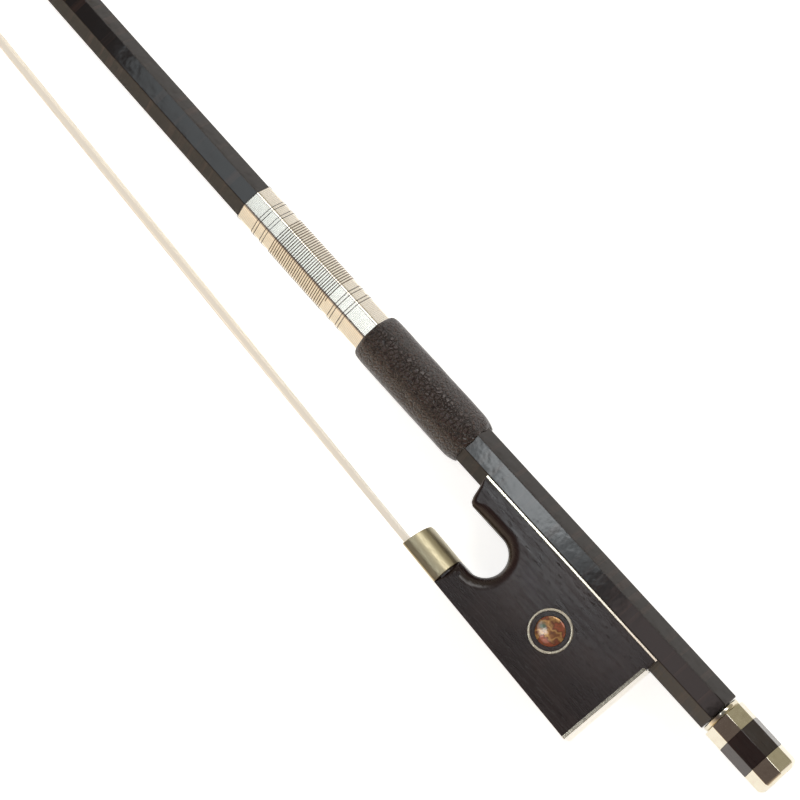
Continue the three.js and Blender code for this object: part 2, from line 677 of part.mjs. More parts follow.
// Heel plates: an upright one behind and a short one under the sole, each with a pin
function heelPlates() {
  const across = solid(bar(frogSection(), -70, -10));
  const foot = sole(FROG_REAR_BOTTOM) + HEEL_SHEET + 2 * FIT;
  const upper = points([
    [heelRear(HEEL_TOP) - HEEL_SHEET, HEEL_TOP - FIT],
    [heelRear(foot) - HEEL_SHEET, foot],
    [heelRear(foot), foot],
    [heelRear(HEEL_TOP), HEEL_TOP - FIT],
  ]);
  const lower = points([
    [HEEL_SOLE_FRONT + 0.1, sole(HEEL_SOLE_FRONT)],
    [FROG_REAR_BOTTOM, sole(FROG_REAR_BOTTOM)],
    [FROG_REAR_BOTTOM, sole(FROG_REAR_BOTTOM) + HEEL_SHEET],
    [HEEL_SOLE_FRONT + 0.1, sole(HEEL_SOLE_FRONT) + HEEL_SHEET],
  ]);
  const [upperHole, lowerHole] = heelPinHoles();
  const upperPlate = solid(plate(upper, 9)).intersect(across).subtract(upperHole);
  const lowerPlate = solid(plate(lower, 9)).intersect(across).subtract(lowerHole);
  add("heel_plate_upper", upperPlate, nickel(), frog);
  add("heel_plate_lower", lowerPlate, nickel(), frog);
  const rearPin = pin(heelRear(HEEL_PIN_Y), HEEL_PIN_Y, -Math.PI / 2, PIN_RADIUS, PIN_LENGTH - 0.1);
  const solePin = pin(HEEL_PIN_X, sole(HEEL_PIN_X), Math.PI + HEEL_TILT, PIN_RADIUS, PIN_LENGTH - 0.1);
  add("heel_pin_upper", rearPin, nickel(), frog);
  add("heel_pin_lower", solePin, nickel(), frog);
}
heelPlates();

// Eyes: a ring and a pearl let into each side face
for (const side of SIDES) {
  const ring = closedRing(ringInner, EYE_RING_RADIUS, -RING_DEPTH, 0.06);
  add(`eye_ring_${side}`, solid(onSide(side, ring)), nickel(), frog);
  const dome = [
    [-PEARL_DEPTH, 0],
    [-PEARL_DEPTH, PEARL_RADIUS],
    [0.02, PEARL_RADIUS],
    [0.2, PEARL_RADIUS * 0.6],
    [0.26, 0],
  ];
  add(`eye_pearl_${side}`, solid(onSide(side, dome)), pearl(), frog);
}

// The screw and the button turn together about the handle's centre line
const screw = new THREE.Group();
bow.add(screw);

const BUTTON_STEPS = { collar: 1.19, band: 5.12, core: 11.69, end: 16.16 };
const screwProfile = [
  [SCREW_FRONT, 0],
  [SCREW_FRONT, 1.0],
  [-62, 1.1],
  [-61, SCREW_RADIUS],
  [BUTTON_STEPS.core, SCREW_RADIUS],
  [BUTTON_STEPS.core, 0],
];
add("adjusting_screw", lathed(screwProfile, 20), steel(), screw);

const buttonBand = (x0, x1) => solid(bar(octagon(BUTTON_FLATS / 2, BUTTON_TURN), x0, x1));

// collar: a rounded lip with room for the stick's nipple
const collarOuter = 4.02;
const collar = [
  [0.12, 2.75],
  [BUTTON_STEPS.collar, 2.75],
  [BUTTON_STEPS.collar, collarOuter - 0.25],
  [0.85, collarOuter],
  [0.45, collarOuter],
  [0.12, collarOuter - 0.25],
  [0.12, 2.75],
];
add("button_collar", lathed(collar, 40), nickel(), screw);

const SPIGOT = 3.1;
const { collar: bandFront, band: bandRear, core: coreRear, end: buttonEnd } = BUTTON_STEPS;
const bandBore = lathed(rodProfile(0, bandRear + 1, SPIGOT + FIT));
const band = buttonBand(bandFront + 0.02, bandRear).subtract(bandBore);
add("button_front_ring", band, nickel(), screw);

function coreSolid() {
  const middle = buttonBand(bandRear + 0.02, coreRear);
  const front = lathed(rodProfile(bandFront + 1.4, bandRear + 1, SPIGOT));
  const rear = lathed(rodProfile(coreRear - 1, coreRear + 2.2, SPIGOT));
  const shank = lathed(rodProfile(-1, coreRear + FIT, SCREW_RADIUS + FIT));
  return middle.add(front).add(rear).subtract(shank);
}
add("button_core", coreSolid(), ebony(), screw);

const capBore = lathed(rodProfile(coreRear - 1, coreRear + 2.25, SPIGOT + FIT));
const capCorner = BUTTON_FLATS / 2 / Math.cos(Math.PI / 8);
const capEnd = [
  [coreRear, 0],
  [coreRear, capCorner + 0.1],
  [buttonEnd - 1.1, capCorner + 0.1],
  [buttonEnd - 0.5, capCorner - 0.35],
  [buttonEnd, capCorner - 1.1],
  [buttonEnd, 0],
];
const cap = buttonBand(coreRear + 0.02, buttonEnd).intersect(lathed(capEnd, 48)).subtract(capBore);
add("button_cap", cap, nickel(), screw);

// The hair: one flat ribbon from the ferrule's mouth to the head
function ribbon() {
  const half = HAIR_THICK / 2;
  const outline = points([
    [HAIR_HEAD.x + 1.2, HAIR_HEAD.y + 1.2 * hairSlope - half],
    [HAIR_FROG.x, HAIR_FROG.y - half],
    [HAIR_FROG.x, HAIR_FROG.y + half],
    [HAIR_HEAD.x + 1.2, HAIR_HEAD.y + 1.2 * hairSlope + half],
  ]);
  return reshape(plate(outline, HAIR_WIDTH / 2), (v) => {
    v.z *= v.x < -400 ? 0.7 : 1;
  });
}
add("hair_ribbon", solid(ribbon()), hair());

// The origin lies below the middle of the whole bow
const box = new THREE.Box3().setFromObject(bow, true);
const centre = box.getCenter(new THREE.Vector3());
bow.position.set(-centre.x, -centre.y, -box.min.z);

const part = new THREE.Group();
part.add(bow);
export default part;
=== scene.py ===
import json
import math
import random

import bmesh
import bpy
from mathutils import Matrix, Vector, noise


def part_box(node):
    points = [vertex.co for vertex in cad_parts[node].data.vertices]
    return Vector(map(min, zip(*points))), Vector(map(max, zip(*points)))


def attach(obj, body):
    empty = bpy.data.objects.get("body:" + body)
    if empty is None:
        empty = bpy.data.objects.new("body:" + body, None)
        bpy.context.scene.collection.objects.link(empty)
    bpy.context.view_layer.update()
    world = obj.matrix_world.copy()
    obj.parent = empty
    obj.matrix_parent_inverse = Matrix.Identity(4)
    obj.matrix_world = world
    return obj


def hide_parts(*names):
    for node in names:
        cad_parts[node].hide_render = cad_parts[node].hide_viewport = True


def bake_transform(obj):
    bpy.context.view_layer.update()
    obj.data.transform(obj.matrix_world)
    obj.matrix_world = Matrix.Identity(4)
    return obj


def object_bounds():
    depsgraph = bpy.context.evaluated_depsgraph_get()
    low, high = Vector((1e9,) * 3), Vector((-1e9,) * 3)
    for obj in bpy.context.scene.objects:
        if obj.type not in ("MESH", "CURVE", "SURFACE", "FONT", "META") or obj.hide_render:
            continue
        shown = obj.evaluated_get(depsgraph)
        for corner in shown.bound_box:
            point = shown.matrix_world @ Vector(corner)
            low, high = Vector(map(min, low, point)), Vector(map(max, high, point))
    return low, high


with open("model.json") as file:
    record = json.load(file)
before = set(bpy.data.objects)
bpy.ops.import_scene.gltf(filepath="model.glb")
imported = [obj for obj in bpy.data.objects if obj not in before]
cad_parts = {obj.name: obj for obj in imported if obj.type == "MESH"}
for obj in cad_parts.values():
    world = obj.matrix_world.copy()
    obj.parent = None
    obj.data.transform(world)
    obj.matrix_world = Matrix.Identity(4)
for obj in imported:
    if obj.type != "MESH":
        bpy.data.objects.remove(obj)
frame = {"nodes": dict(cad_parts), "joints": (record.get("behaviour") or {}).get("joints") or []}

CAD_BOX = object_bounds()
MM = 0.001
TURN = next(j for j in frame["joints"] if j["name"] == "button_turn")
ORIGIN = Vector(TURN["pos_m"])
EIGHTH = math.pi / 8


def at(x, y, z):
    return ORIGIN + Vector((x, y, z)) * MM


# ---------------------------------------------------------------- the bow's own lines
HANDLE_FLATS = 8.6
HANDLE_FRONT = -66.0
WAIST_X = -182.0
WAIST_FLATS = 7.9
NECK_X = -700.0
NECK_WIDTH = 5.4
HEAD_ROOT = -694.0
HEAD_BACK = -704.5
NOSE = -728.8
FIT = 0.05
SHEET = 0.4
RAIL_TOP = -2.35
RAIL_HALF = 4.9
SOLE_HALF = 6.6
FERRULE_REAR = -52.54
FERRULE_FRONT = -61.9
FROG_REAR = -14.3
TONGUE_TOP = -16.52
HOLLOW = 0.4
HEEL_TOP = -4.6
HEEL_FOOT_X = -14.95
HEEL_SOLE_FRONT = -23.2
HEEL_INSET = 0.7
HEEL_SHEET = 0.72


def lerp(a, b, t):
    return a + (b - a) * t


def smooth(t):
    t = min(1.0, max(0.0, t))
    return t * t * (3 - 2 * t)


def camber(x):
    u = max(0.0, -45 - x)
    return 5.5e-5 * u**2 + 2.78e-8 * u**3


def flats(x):
    if x >= HANDLE_FRONT:
        return HANDLE_FLATS
    if x >= WAIST_X:
        return lerp(HANDLE_FLATS, WAIST_FLATS, (HANDLE_FRONT - x) / (HANDLE_FRONT - WAIST_X))
    t = min(1.0, (WAIST_X - x) / (WAIST_X - NECK_X))
    return lerp(WAIST_FLATS, NECK_WIDTH, t**1.25)


def roundness(x):
    return min(1.0, max(0.0, (WAIST_X - 5 - x) / 40))


def sole(x):
    return -22.23 - 0.041 * (x + 61.9)


SIDE_SLOPE = (SOLE_HALF - RAIL_HALF) / (RAIL_TOP - sole(FROG_REAR))


def flat_side(y):
    """Half the frog's width before its sides are hollowed."""
    return RAIL_HALF + (RAIL_TOP - y) * SIDE_SLOPE


def side_z(y):
    """Half the frog's width: it widens to the sole, and its sides are a little hollow."""
    down = min(1.0, max(0.0, (RAIL_TOP - y) / (RAIL_TOP - sole(FROG_REAR))))
    return flat_side(y) - HOLLOW * math.sin(math.pi * down)


def plate_face(x):
    return 10.35 - 0.0482 * (x - HEAD_BACK) + 0.012 * max(0.0, -722 - x) ** 2


# ---------------------------------------------------------------- mesh helpers
def octagon_ring(apothem, corner, turn=0.0, per_corner=6):
    """(y, z) points round an octagon with rounded corners. A corner as large as the apothem gives nearly
    a circle."""
    corner = min(corner, 0.97 * apothem)
    inset = (apothem - corner) / math.cos(EIGHTH)
    ring = []
    for i in range(8):
        middle = turn + EIGHTH * (2 * i + 1)
        for k in range(per_corner):
            angle = middle + EIGHTH * (2 * k / (per_corner - 1) - 1)
            ring.append((
                inset * math.cos(middle) + corner * math.cos(angle),
                inset * math.sin(middle) + corner * math.sin(angle),
            ))
    return ring


def circle_ring(radius, count=48):
    turns = [2 * math.pi * i / count for i in range(count)]
    return [(radius * math.cos(a), radius * math.sin(a)) for a in turns]


def loft(rings, lengths=None, close=False, caps=(True, True)):
    """A mesh through rings of (x, y, z) points in the handle's frame. With lengths, a UV map in millimetres
    runs along the rings in u and round them in v."""
    count = len(rings[0])
    mesh = bpy.data.meshes.new("loft")
    verts = [at(*p) for ring in rings for p in ring]
    faces = []
    steps = len(rings) if close else len(rings) - 1
    for i in range(steps):
        low, high = i * count, ((i + 1) % len(rings)) * count
        for j in range(count):
            k = (j + 1) % count
            faces.append((low + j, low + k, high + k, high + j))
    if not close and caps[0]:
        faces.append(tuple(reversed(range(count))))
    if not close and caps[1]:
        faces.append(tuple(range((len(rings) - 1) * count, len(rings) * count)))
    mesh.from_pydata(verts, [], faces)
    if lengths:
        layer = mesh.uv_layers.new(name="wrap")
        round_it = [0.0]
        middle = rings[len(rings) // 3]
        for a, b in zip(middle, middle[1:] + middle[:1]):
            round_it.append(round_it[-1] + (Vector(b) - Vector(a)).length)
        for f in range(steps * count):
            i, j = divmod(f, count)
            ends = (lengths[i], lengths[(i + 1) % len(lengths)])
            values = ((0, 0), (0, 1), (1, 1), (1, 0))
            for corner, (along, over) in enumerate(values):
                layer.data[mesh.polygons[f].loop_start + corner].uv = (ends[along], round_it[j + over])
    turn_outward(mesh)
    return mesh


def turn_outward(mesh):
    bm = bmesh.new()
    bm.from_mesh(mesh)
    bmesh.ops.recalc_face_normals(bm, faces=bm.faces)
    bm.to_mesh(mesh)
    bm.free()


AXIS_RADIUS = 0.01  # a turned shape ends in a ring this small


def lathe(profile, count=96):
    """Turned about the x axis from (x, radius) pairs. The profile ends on the axis or closes on itself."""
    closed = profile[0] == profile[-1]
    rings = profile[:-1] if closed else profile
    made = [[(x, y, z) for y, z in circle_ring(max(r, AXIS_RADIUS), count)] for x, r in rings]
    return loft(made, close=closed)


def join(meshes):
    bm = bmesh.new()
    for m in meshes:
        bm.from_mesh(m)
    out = bpy.data.meshes.new("joined")
    bm.to_mesh(out)
    bm.free()
    return out


def piece(name, mesh, material, body, stands_for=(), sharp=35, weighted=True):
    """A piece of the bow from a mesh in the row frame."""
    ob = bpy.data.objects.new(name, mesh)
    bpy.context.scene.collection.objects.link(ob)
    mesh.name = name
    mesh.materials.clear()
    mesh.materials.append(material)
    mesh.shade_smooth()
    mesh.set_sharp_from_angle(angle=math.radians(sharp))
    if weighted:
        ob.modifiers.new("normals", "WEIGHTED_NORMAL").keep_sharp = True
    if body:
        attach(ob, body)
    if stands_for:
        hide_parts(*stands_for)
    return ob


def cut(mesh, cutters):
    """mesh less the cutters, worked out here and kept as a plain mesh."""
    ob = bpy.data.objects.new("cut", mesh)
    tool = bpy.data.objects.new("tool", join(cutters))
    for o in (ob, tool):
        bpy.context.scene.collection.objects.link(o)
    mod = ob.modifiers.new("cut", "BOOLEAN")
    mod.operation, mod.object, mod.solver = "DIFFERENCE", tool, "EXACT"
    graph = bpy.context.evaluated_depsgraph_get()
    out = bpy.data.meshes.new_from_object(ob.evaluated_get(graph))
    bpy.data.objects.remove(ob)
    bpy.data.objects.remove(tool)
    return out


def dress(node, material, bevel=0.0):
    """A CAD node with its own material, and its edges eased."""
    ob = frame["nodes"][node]
    ob.data.materials.clear()
    ob.data.materials.append(material)
    if bevel:
        flat = ob.modifiers.new("flat", "DECIMATE")
        flat.decimate_type = "DISSOLVE"
        flat.angle_limit = math.radians(1.5)
        ease = ob.modifiers.new("ease", "BEVEL")
        ease.width = bevel * MM
        ease.segments = 3
        ease.limit_method = "ANGLE"
        ease.angle_limit = math.radians(28)
        ease.harden_normals = True
    return ob


# ---------------------------------------------------------------- material helpers
class Graph:
    """A node tree written a node at a time. Input values may be numbers, colours or sockets."""

    def __init__(self, name):
        self.material = bpy.data.materials.new(name)
        self.material.use_nodes = True
        self.tree = self.material.node_tree
        self.tree.nodes.clear()

    def node(self, kind, inputs=None, **settings):
        made = self.tree.nodes.new("ShaderNode" + kind)
        for key, value in settings.items():
            setattr(made, key, value)
        for key, value in (inputs or {}).items():
            socket = made.inputs[key]
            if isinstance(value, bpy.types.NodeSocket):
                self.tree.links.new(value, socket)
            else:
                socket.default_value = value
        return made.outputs[0] if made.outputs else made

    def math(self, operation, a, b=0.0, c=0.0):
        return self.node("Math", {0: a, 1: b, 2: c}, operation=operation)

    def place(self, scale=(1000.0, 1000.0, 1000.0), move=(0.0, 0.0, 0.0)):
        """Object coordinates, in millimetres unless a scale is given."""
        here = self.tree.nodes.new("ShaderNodeTexCoord").outputs["Object"]
        return self.node("Mapping", {"Vector": here, "Scale": scale, "Location": move})

    def wrap(self, scale=(1.0, 1.0, 1.0)):
        here = self.tree.nodes.new("ShaderNodeUVMap")
        here.uv_map = "wrap"
        return self.node("Mapping", {"Vector": here.outputs[0], "Scale": scale})

    def noise(self, vector, scale, detail=3.0, rough=0.55):
        return self.node("TexNoise", {"Vector": vector, "Scale": scale, "Detail": detail, "Roughness": rough})

    def ramp(self, factor, stops, interpolation="LINEAR"):
        made = self.tree.nodes.new("ShaderNodeValToRGB")
        self.tree.links.new(factor, made.inputs[0])
        made.color_ramp.interpolation = interpolation
        elements = made.color_ramp.elements
        while len(elements) < len(stops):
            elements.new(0.5)
        for element, (position, colour) in zip(elements, stops):
            element.position = position
            element.color = (*colour, 1.0) if len(colour) == 3 else colour
        return made.outputs[0]

    def span(self, value, low, high, to_low, to_high):
        return self.node("MapRange", {0: value, 1: low, 2: high, 3: to_low, 4: to_high})

    def mix(self, factor, a, b, blend="MIX"):
        made = self.tree.nodes.new("ShaderNodeMix")
        made.data_type = "RGBA"
        made.blend_type = blend
        for index, value in ((0, factor), (6, a), (7, b)):
            if isinstance(value, bpy.types.NodeSocket):
                self.tree.links.new(value, made.inputs[index])
            elif index:
                made.inputs[index].default_value = (*value, 1.0)
            else:
                made.inputs[index].default_value = value
        return made.outputs[2]

    def bump(self, height, depth, strength=1.0):
        """A bump whose height socket is 0 to 1 and depth is in millimetres."""
        return self.node("Bump", {"Height": height, "Distance": depth * MM, "Strength": strength})

    def finish(self, **inputs):
        named = {k.replace("_", " "): v for k, v in inputs.items()}
        shader = self.node("BsdfPrincipled", named)
        self.node("OutputMaterial", {"Surface": shader})
        return self.material


def carbon():
    """Twill-woven carbon under a clear lacquer."""
    g = Graph("carbon_weave")
    uv = g.wrap()
    parts = g.tree.nodes.new("ShaderNodeSeparateXYZ")
    g.tree.links.new(uv, parts.inputs[0])
    tow = 0.8
    u = g.math("DIVIDE", parts.outputs[0], tow)
    v = g.math("DIVIDE", parts.outputs[1], tow)
    step = g.math("FLOORED_MODULO", g.math("ADD", g.math("FLOOR", u), g.math("FLOOR", v)), 4.0)
    warp = g.math("LESS_THAN", step, 1.5)
    along = g.noise(g.wrap((0.5, 14.0, 1.0)), 1.0, 2.0)
    across = g.noise(g.wrap((14.0, 0.5, 1.0)), 1.0, 2.0)
    fibre = g.node("Mix", {0: warp, 2: across, 3: along}, data_type="FLOAT")
    fleck = g.noise(g.wrap((0.35, 0.6, 1.0)), 1.0, 3.0)
    light = g.math("MULTIPLY", g.span(fleck, 0.50, 0.68, 0.0, 1.0), g.math("SUBTRACT", 1.0, warp))
    base = g.mix(fibre, (0.0075, 0.0048, 0.0042), (0.017, 0.0100, 0.0084))
    colour = g.mix(g.math("MULTIPLY", light, fibre), base, (0.075, 0.038, 0.028))
    pillow_u = g.math("ABSOLUTE", g.math("SUBTRACT", g.math("FRACT", u), 0.5))
    pillow_v = g.math("ABSOLUTE", g.math("SUBTRACT", g.math("FRACT", v), 0.5))
    pillow = g.math("SUBTRACT", 1.0, g.math("ADD", pillow_u, pillow_v))
    height = g.math("ADD", g.math("MULTIPLY", pillow, 0.7), g.math("MULTIPLY", fibre, 0.3))
    under = g.bump(height, 0.032, 0.5)
    lacquer = g.bump(g.noise(g.place(), 0.35, 2.0), 0.03, 0.5)
    return g.finish(
        Base_Color=colour, Roughness=g.span(fibre, 0.3, 0.7, 0.4, 0.52), Normal=under,
        Specular_IOR_Level=0.15,
        Coat_Weight=1.0, Coat_Roughness=0.07, Coat_IOR=1.44, Coat_Normal=lacquer,
    )


def ebony(name="ebony", shine=0.42, coat=0.0):
    """Near-black wood with fine open pores along the grain."""
    g = Graph(name)
    streak = g.noise(g.place((70.0, 900.0, 900.0)), 1.6, 4.0, 0.62)
    pore = g.noise(g.place((420.0, 4200.0, 4200.0)), 1.0, 2.0)
    open_pore = g.span(pore, 0.62, 0.72, 0.0, 1.0)
    cloud = g.noise(g.place(), 0.09, 2.0)
    dark = g.mix(streak, (0.0125, 0.0064, 0.0062), (0.030, 0.0158, 0.0150))
    colour = g.mix(g.span(cloud, 0.42, 0.7, 0.0, 0.75), dark, (0.044, 0.0225, 0.019))
    colour = g.mix(g.math("MULTIPLY", open_pore, 0.7), colour, (0.004, 0.003, 0.003))
    polish = g.span(streak, 0.3, 0.7, shine - 0.05, shine + 0.07)
    rough = g.math("ADD", polish, g.math("MULTIPLY", open_pore, 0.2))
    height = g.math("SUBTRACT", g.math("MULTIPLY", streak, 0.4), open_pore)
    return g.finish(
        Base_Color=colour, Roughness=rough, Normal=g.bump(height, 0.02, 0.55),
        Coat_Weight=coat, Coat_Roughness=0.12,
    )


def leather():
    """Fine-grained goat leather, darker in the grain's hollows and lighter on its high spots."""
    g = Graph("leather_grain")
    warped = g.node("VectorMath", {0: g.place(), 1: g.noise(g.place(), 0.9, 3.0)}, operation="ADD")
    cells = g.node("TexVoronoi", {"Vector": warped, "Scale": 1.15}, feature="DISTANCE_TO_EDGE")
    pebble = g.span(cells, 0.0, 0.22, 0.0, 1.0)
    small = g.noise(g.place(), 4.2, 4.0)
    crease = g.noise(g.place((600.0, 1500.0, 1500.0)), 0.45, 5.0, 0.65)
    tone = g.noise(g.place(), 0.22, 3.0)
    valley = g.mix(tone, (0.007, 0.0030, 0.0028), (0.014, 0.0062, 0.0056))
    hill = g.mix(tone, (0.052, 0.028, 0.025), (0.110, 0.068, 0.061))
    colour = g.mix(g.math("MULTIPLY", pebble, g.span(small, 0.3, 0.7, 0.35, 1.0)), valley, hill)
    height = g.math("ADD", g.math("MULTIPLY", pebble, 0.62), g.math("MULTIPLY", small, 0.25))
    height = g.math("ADD", height, g.math("MULTIPLY", crease, 0.6))
    return g.finish(
        Base_Color=colour, Roughness=g.span(small, 0.3, 0.7, 0.22, 0.36),
        Normal=g.bump(height, 0.2, 1.0), Specular_IOR_Level=0.7,
    )


def metal(name, colour, rough, tarnish=(0.42, 0.36, 0.26), amount=0.25, streaks=(900.0, 900.0, 900.0),
          depth=0.008):
    """Polished metal with a little tarnish and fine scratches."""
    g = Graph(name)
    cloud = g.noise(g.place(), 0.55, 4.0)
    fine = g.noise(g.place(streaks), 2.2, 4.0, 0.7)
    stain = g.math("MULTIPLY", g.span(cloud, 0.45, 0.75, 0.0, 1.0), amount)
    tint = g.mix(stain, colour, tarnish)
    height = g.math("ADD", g.math("MULTIPLY", fine, 0.3), g.math("MULTIPLY", cloud, 0.5))
    return g.finish(
        Base_Color=tint, Metallic=1.0, Roughness=g.span(fine, 0.3, 0.7, rough * 0.75, rough * 1.35),
        Normal=g.bump(height, depth, 0.4),
    )


def foil():
    """Flat bright wire wound edge to edge."""
    g = Graph("winding_wire")
    parts = g.tree.nodes.new("ShaderNodeSeparateXYZ")
    g.tree.links.new(g.wrap(), parts.inputs[0])
    turn = g.math("ADD", parts.outputs[0], g.math("MULTIPLY", parts.outputs[1], 0.01))
    wave = g.math("ABSOLUTE", g.math("SINE", g.math("MULTIPLY", turn, math.pi / 0.34)))
    seam = g.math("POWER", wave, 0.35)
    cloud = g.noise(g.place(), 0.8, 3.0)
    tint = g.mix(cloud, (0.82, 0.77, 0.68), (0.90, 0.87, 0.81))
    colour = g.mix(seam, (0.60, 0.53, 0.43), tint)
    fine = g.noise(g.wrap((2.0, 30.0, 1.0)), 1.0, 3.0)
    height = g.math("ADD", seam, g.math("MULTIPLY", fine, 0.15))
    return g.finish(
        Base_Color=colour, Metallic=1.0, Roughness=g.span(fine, 0.3, 0.7, 0.2, 0.3),
        Normal=g.bump(height, 0.005, 0.3),
    )


def thread(name="black_thread", colour=(0.012, 0.010, 0.010), light=(0.035, 0.030, 0.027)):
    g = Graph(name)
    twist = g.noise(g.place((2500.0, 9000.0, 9000.0)), 1.0, 2.0)
    return g.finish(
        Base_Color=g.mix(twist, colour, light), Roughness=g.span(twist, 0.3, 0.7, 0.4, 0.65),
        Normal=g.bump(twist, 0.03, 0.6),
    )


def shell(name, centre, pale=0.0):
    """Dark abalone: bands of gold, red and green under a polished face."""
    g = Graph(name)
    here = g.place((1000.0, 1000.0, 1000.0), tuple(-1000.0 * c for c in centre))
    swirl = g.node("VectorMath", {0: here, 1: g.noise(here, 0.45, 3.0, 0.6)}, operation="ADD")
    bands = g.span(g.noise(swirl, 0.36, 3.0, 0.5), 0.30, 0.70, 0.0, 1.0)
    patch = g.noise(g.place((1000.0, 1000.0, 1000.0), tuple(-1000.0 * c + 3.7 for c in centre)), 0.34, 3.0)
    warm = g.ramp(bands, [
        (0.0, (0.045, 0.020, 0.010)), (0.28, (0.30, 0.11, 0.035)), (0.46, (0.66, 0.36, 0.12)),
        (0.62, (0.20, 0.065, 0.028)), (0.80, (0.50, 0.13, 0.06)), (1.0, (0.12, 0.10, 0.045)),
    ])
    cool = g.ramp(bands, [
        (0.0, (0.05, 0.075, 0.045)), (0.35, (0.14, 0.24, 0.16)), (0.68, (0.50, 0.40, 0.22)),
        (1.0, (0.62, 0.72, 0.60)),
    ])
    colour = g.mix(g.span(patch, 0.56, 0.68, 0.0, 0.9), warm, cool)
    colour = g.mix(pale, colour, (0.62, 0.60, 0.55))
    return g.finish(
        Base_Color=colour, Metallic=0.35, Roughness=g.span(patch, 0.3, 0.7, 0.2, 0.34), Coat_Weight=1.0,
        Coat_Roughness=0.04, Normal=g.bump(bands, 0.03, 0.4),
    )


def horsehair():
    g = Graph("horsehair")
    strand = g.noise(g.place((6.0, 5200.0, 2600.0)), 1.0, 2.0)
    length = g.noise(g.place((45.0, 900.0, 900.0)), 1.0, 2.0)
    pale = g.mix(strand, (0.90, 0.82, 0.70), (1.0, 0.97, 0.91))
    colour = g.mix(g.span(length, 0.35, 0.7, 0.0, 0.35), pale, (0.94, 0.86, 0.74))
    return g.finish(
        Base_Color=colour, Roughness=g.span(strand, 0.3, 0.7, 0.38, 0.6), Normal=g.bump(strand, 0.03, 0.35),
        Sheen_Weight=0.15, Sheen_Roughness=0.4, Specular_IOR_Level=0.45,
        # The hair glows a little in cream: painted light, to brighten it, though it is no lamp.
        Emission_Color=(1.0, 0.93, 0.83, 1.0), Emission_Strength=0.24,
    )


def maple():
    g = Graph("plug_wood")
    grain = g.noise(g.place((120.0, 900.0, 900.0)), 1.4, 4.0)
    pore = g.noise(g.place((500.0, 4200.0, 4200.0)), 1.0, 2.0)
    colour = g.mix(grain, (0.42, 0.26, 0.13), (0.66, 0.47, 0.28))
    return g.finish(
        Base_Color=colour, Roughness=g.span(grain, 0.3, 0.7, 0.5, 0.7), Normal=g.bump(pore, 0.03, 0.6),
    )


def bone():
    g = Graph("tip_bone")
    cloud = g.noise(g.place(), 0.5, 4.0)
    fine = g.noise(g.place((300.0, 2600.0, 2600.0)), 1.0, 3.0)
    colour = g.mix(cloud, (0.80, 0.76, 0.66), (0.90, 0.87, 0.80))
    colour = g.mix(g.span(fine, 0.62, 0.75, 0.0, 0.3), colour, (0.62, 0.52, 0.38))
    return g.finish(
        Base_Color=colour, Roughness=g.span(fine, 0.3, 0.7, 0.22, 0.4), Normal=g.bump(fine, 0.01, 0.4),
        Subsurface_Weight=0.1, Subsurface_Radius=(0.001, 0.0007, 0.0004),
    )


CARBON = carbon()
EBONY = ebony(shine=0.25)
BUTTON_EBONY = ebony("button_ebony", 0.3, 0.5)
LEATHER = leather()
NICKEL = metal("nickel_silver", (0.74, 0.69, 0.57), 0.16, depth=0.003)
# The ferrule's nickel is a darker copy of the other nickel: painted shade, for the dark room its band
# reflects.
SHADED_FERRULE_NICKEL = metal("ferrule_nickel_painted_dark", (0.52, 0.465, 0.32), 0.38, amount=0.12, depth=0.003,
                       streaks=(300.0, 1400.0, 1400.0))
# The eye rings' nickel is a darker copy of the other nickel: painted shade.
SHADED_EYE_NICKEL = metal("eye_nickel_painted_dark", (0.60, 0.535, 0.42), 0.3)
STEEL = metal("steel", (0.56, 0.55, 0.53), 0.3)
BRASS = metal("brass", (0.72, 0.52, 0.24), 0.3)
FOIL = foil()
THREAD = thread()
DARK_WIRE = metal("dark_wire", (0.13, 0.095, 0.062), 0.3, tarnish=(0.07, 0.05, 0.03), depth=0.002)
RED_THREAD = thread("tie_thread", (0.20, 0.02, 0.018), (0.36, 0.05, 0.04))
HAIR = horsehair()
MAPLE = maple()
BONE = bone()


# ---------------------------------------------------------------- stick and head, one moulding
STICK_CORNER = 0.32
NIPPLE = (2.6, 2.4)  # the turned end that the button's collar fits over: radius and length
TIP_PLATE = 1.75  # the head's own face lies this far behind the tip plate's
HEAD_HALF = 5.2


def bezier(a, b, c, d, t):
    s = 1 - t
    shares = (s**3, 3 * s * s * t, 3 * s * t * t, t**3)
    return tuple(sum(k * v for k, v in zip(shares, values)) for values in zip(a, b, c, d))


def head_outer(t):
    top = camber(HEAD_ROOT) + flats(HEAD_ROOT) / 2
    if t < 0.42:
        return bezier((HEAD_ROOT, top), (-700, top + 0.7), (-706.5, 35.4), (-711.2, 32.6), t / 0.42)
    end = (NOSE + 0.3, plate_face(NOSE) + TIP_PLATE + 0.4)
    return bezier((-711.2, 32.6), (-717.5, 28.6), (-719.5, 19), end, (t - 0.42) / 0.58)


def head_inner(t):
    low = camber(HEAD_ROOT) - flats(HEAD_ROOT) / 2
    end = (HEAD_BACK, plate_face(HEAD_BACK) + TIP_PLATE)
    return bezier((HEAD_ROOT, low), (HEAD_BACK, 27.2), (HEAD_BACK - 1, 20), end, t)


def plan_half(q):
    """Half of the head's plan, from the nose (q = 0) to the middle of its back (1), as shares of its
    length and width."""
    length = HEAD_BACK - NOSE
    if q < 0.14:
        t = q / 0.14
        x, z = t * t * 1.2, 2 * (1 - t) * t * 1.6 + t * t * 2.1
        return x / length, z / HEAD_HALF
    if q < 0.82:
        t = (q - 0.14) / 0.68
        x, z = bezier((1.2, 2.1), (6.3, 4.0), (15.3, 4.9), (length, HEAD_HALF), t)
        return x / length, z / HEAD_HALF
    return 1.0, 1 - (q - 0.82) / 0.18


def head_half_width(y):
    stops = [(10, HEAD_HALF), (13, 4.95), (15, 4.5), (18, 3.75), (21, 3.2), (26, 2.9), (31, 2.75), (36, 2.7)]
    for (y0, w0), (y1, w1) in zip(stops, stops[1:]):
        if y < y1:
            return lerp(w0, w1, max(0.0, (y - y0) / (y1 - y0)))
    return stops[-1][1]


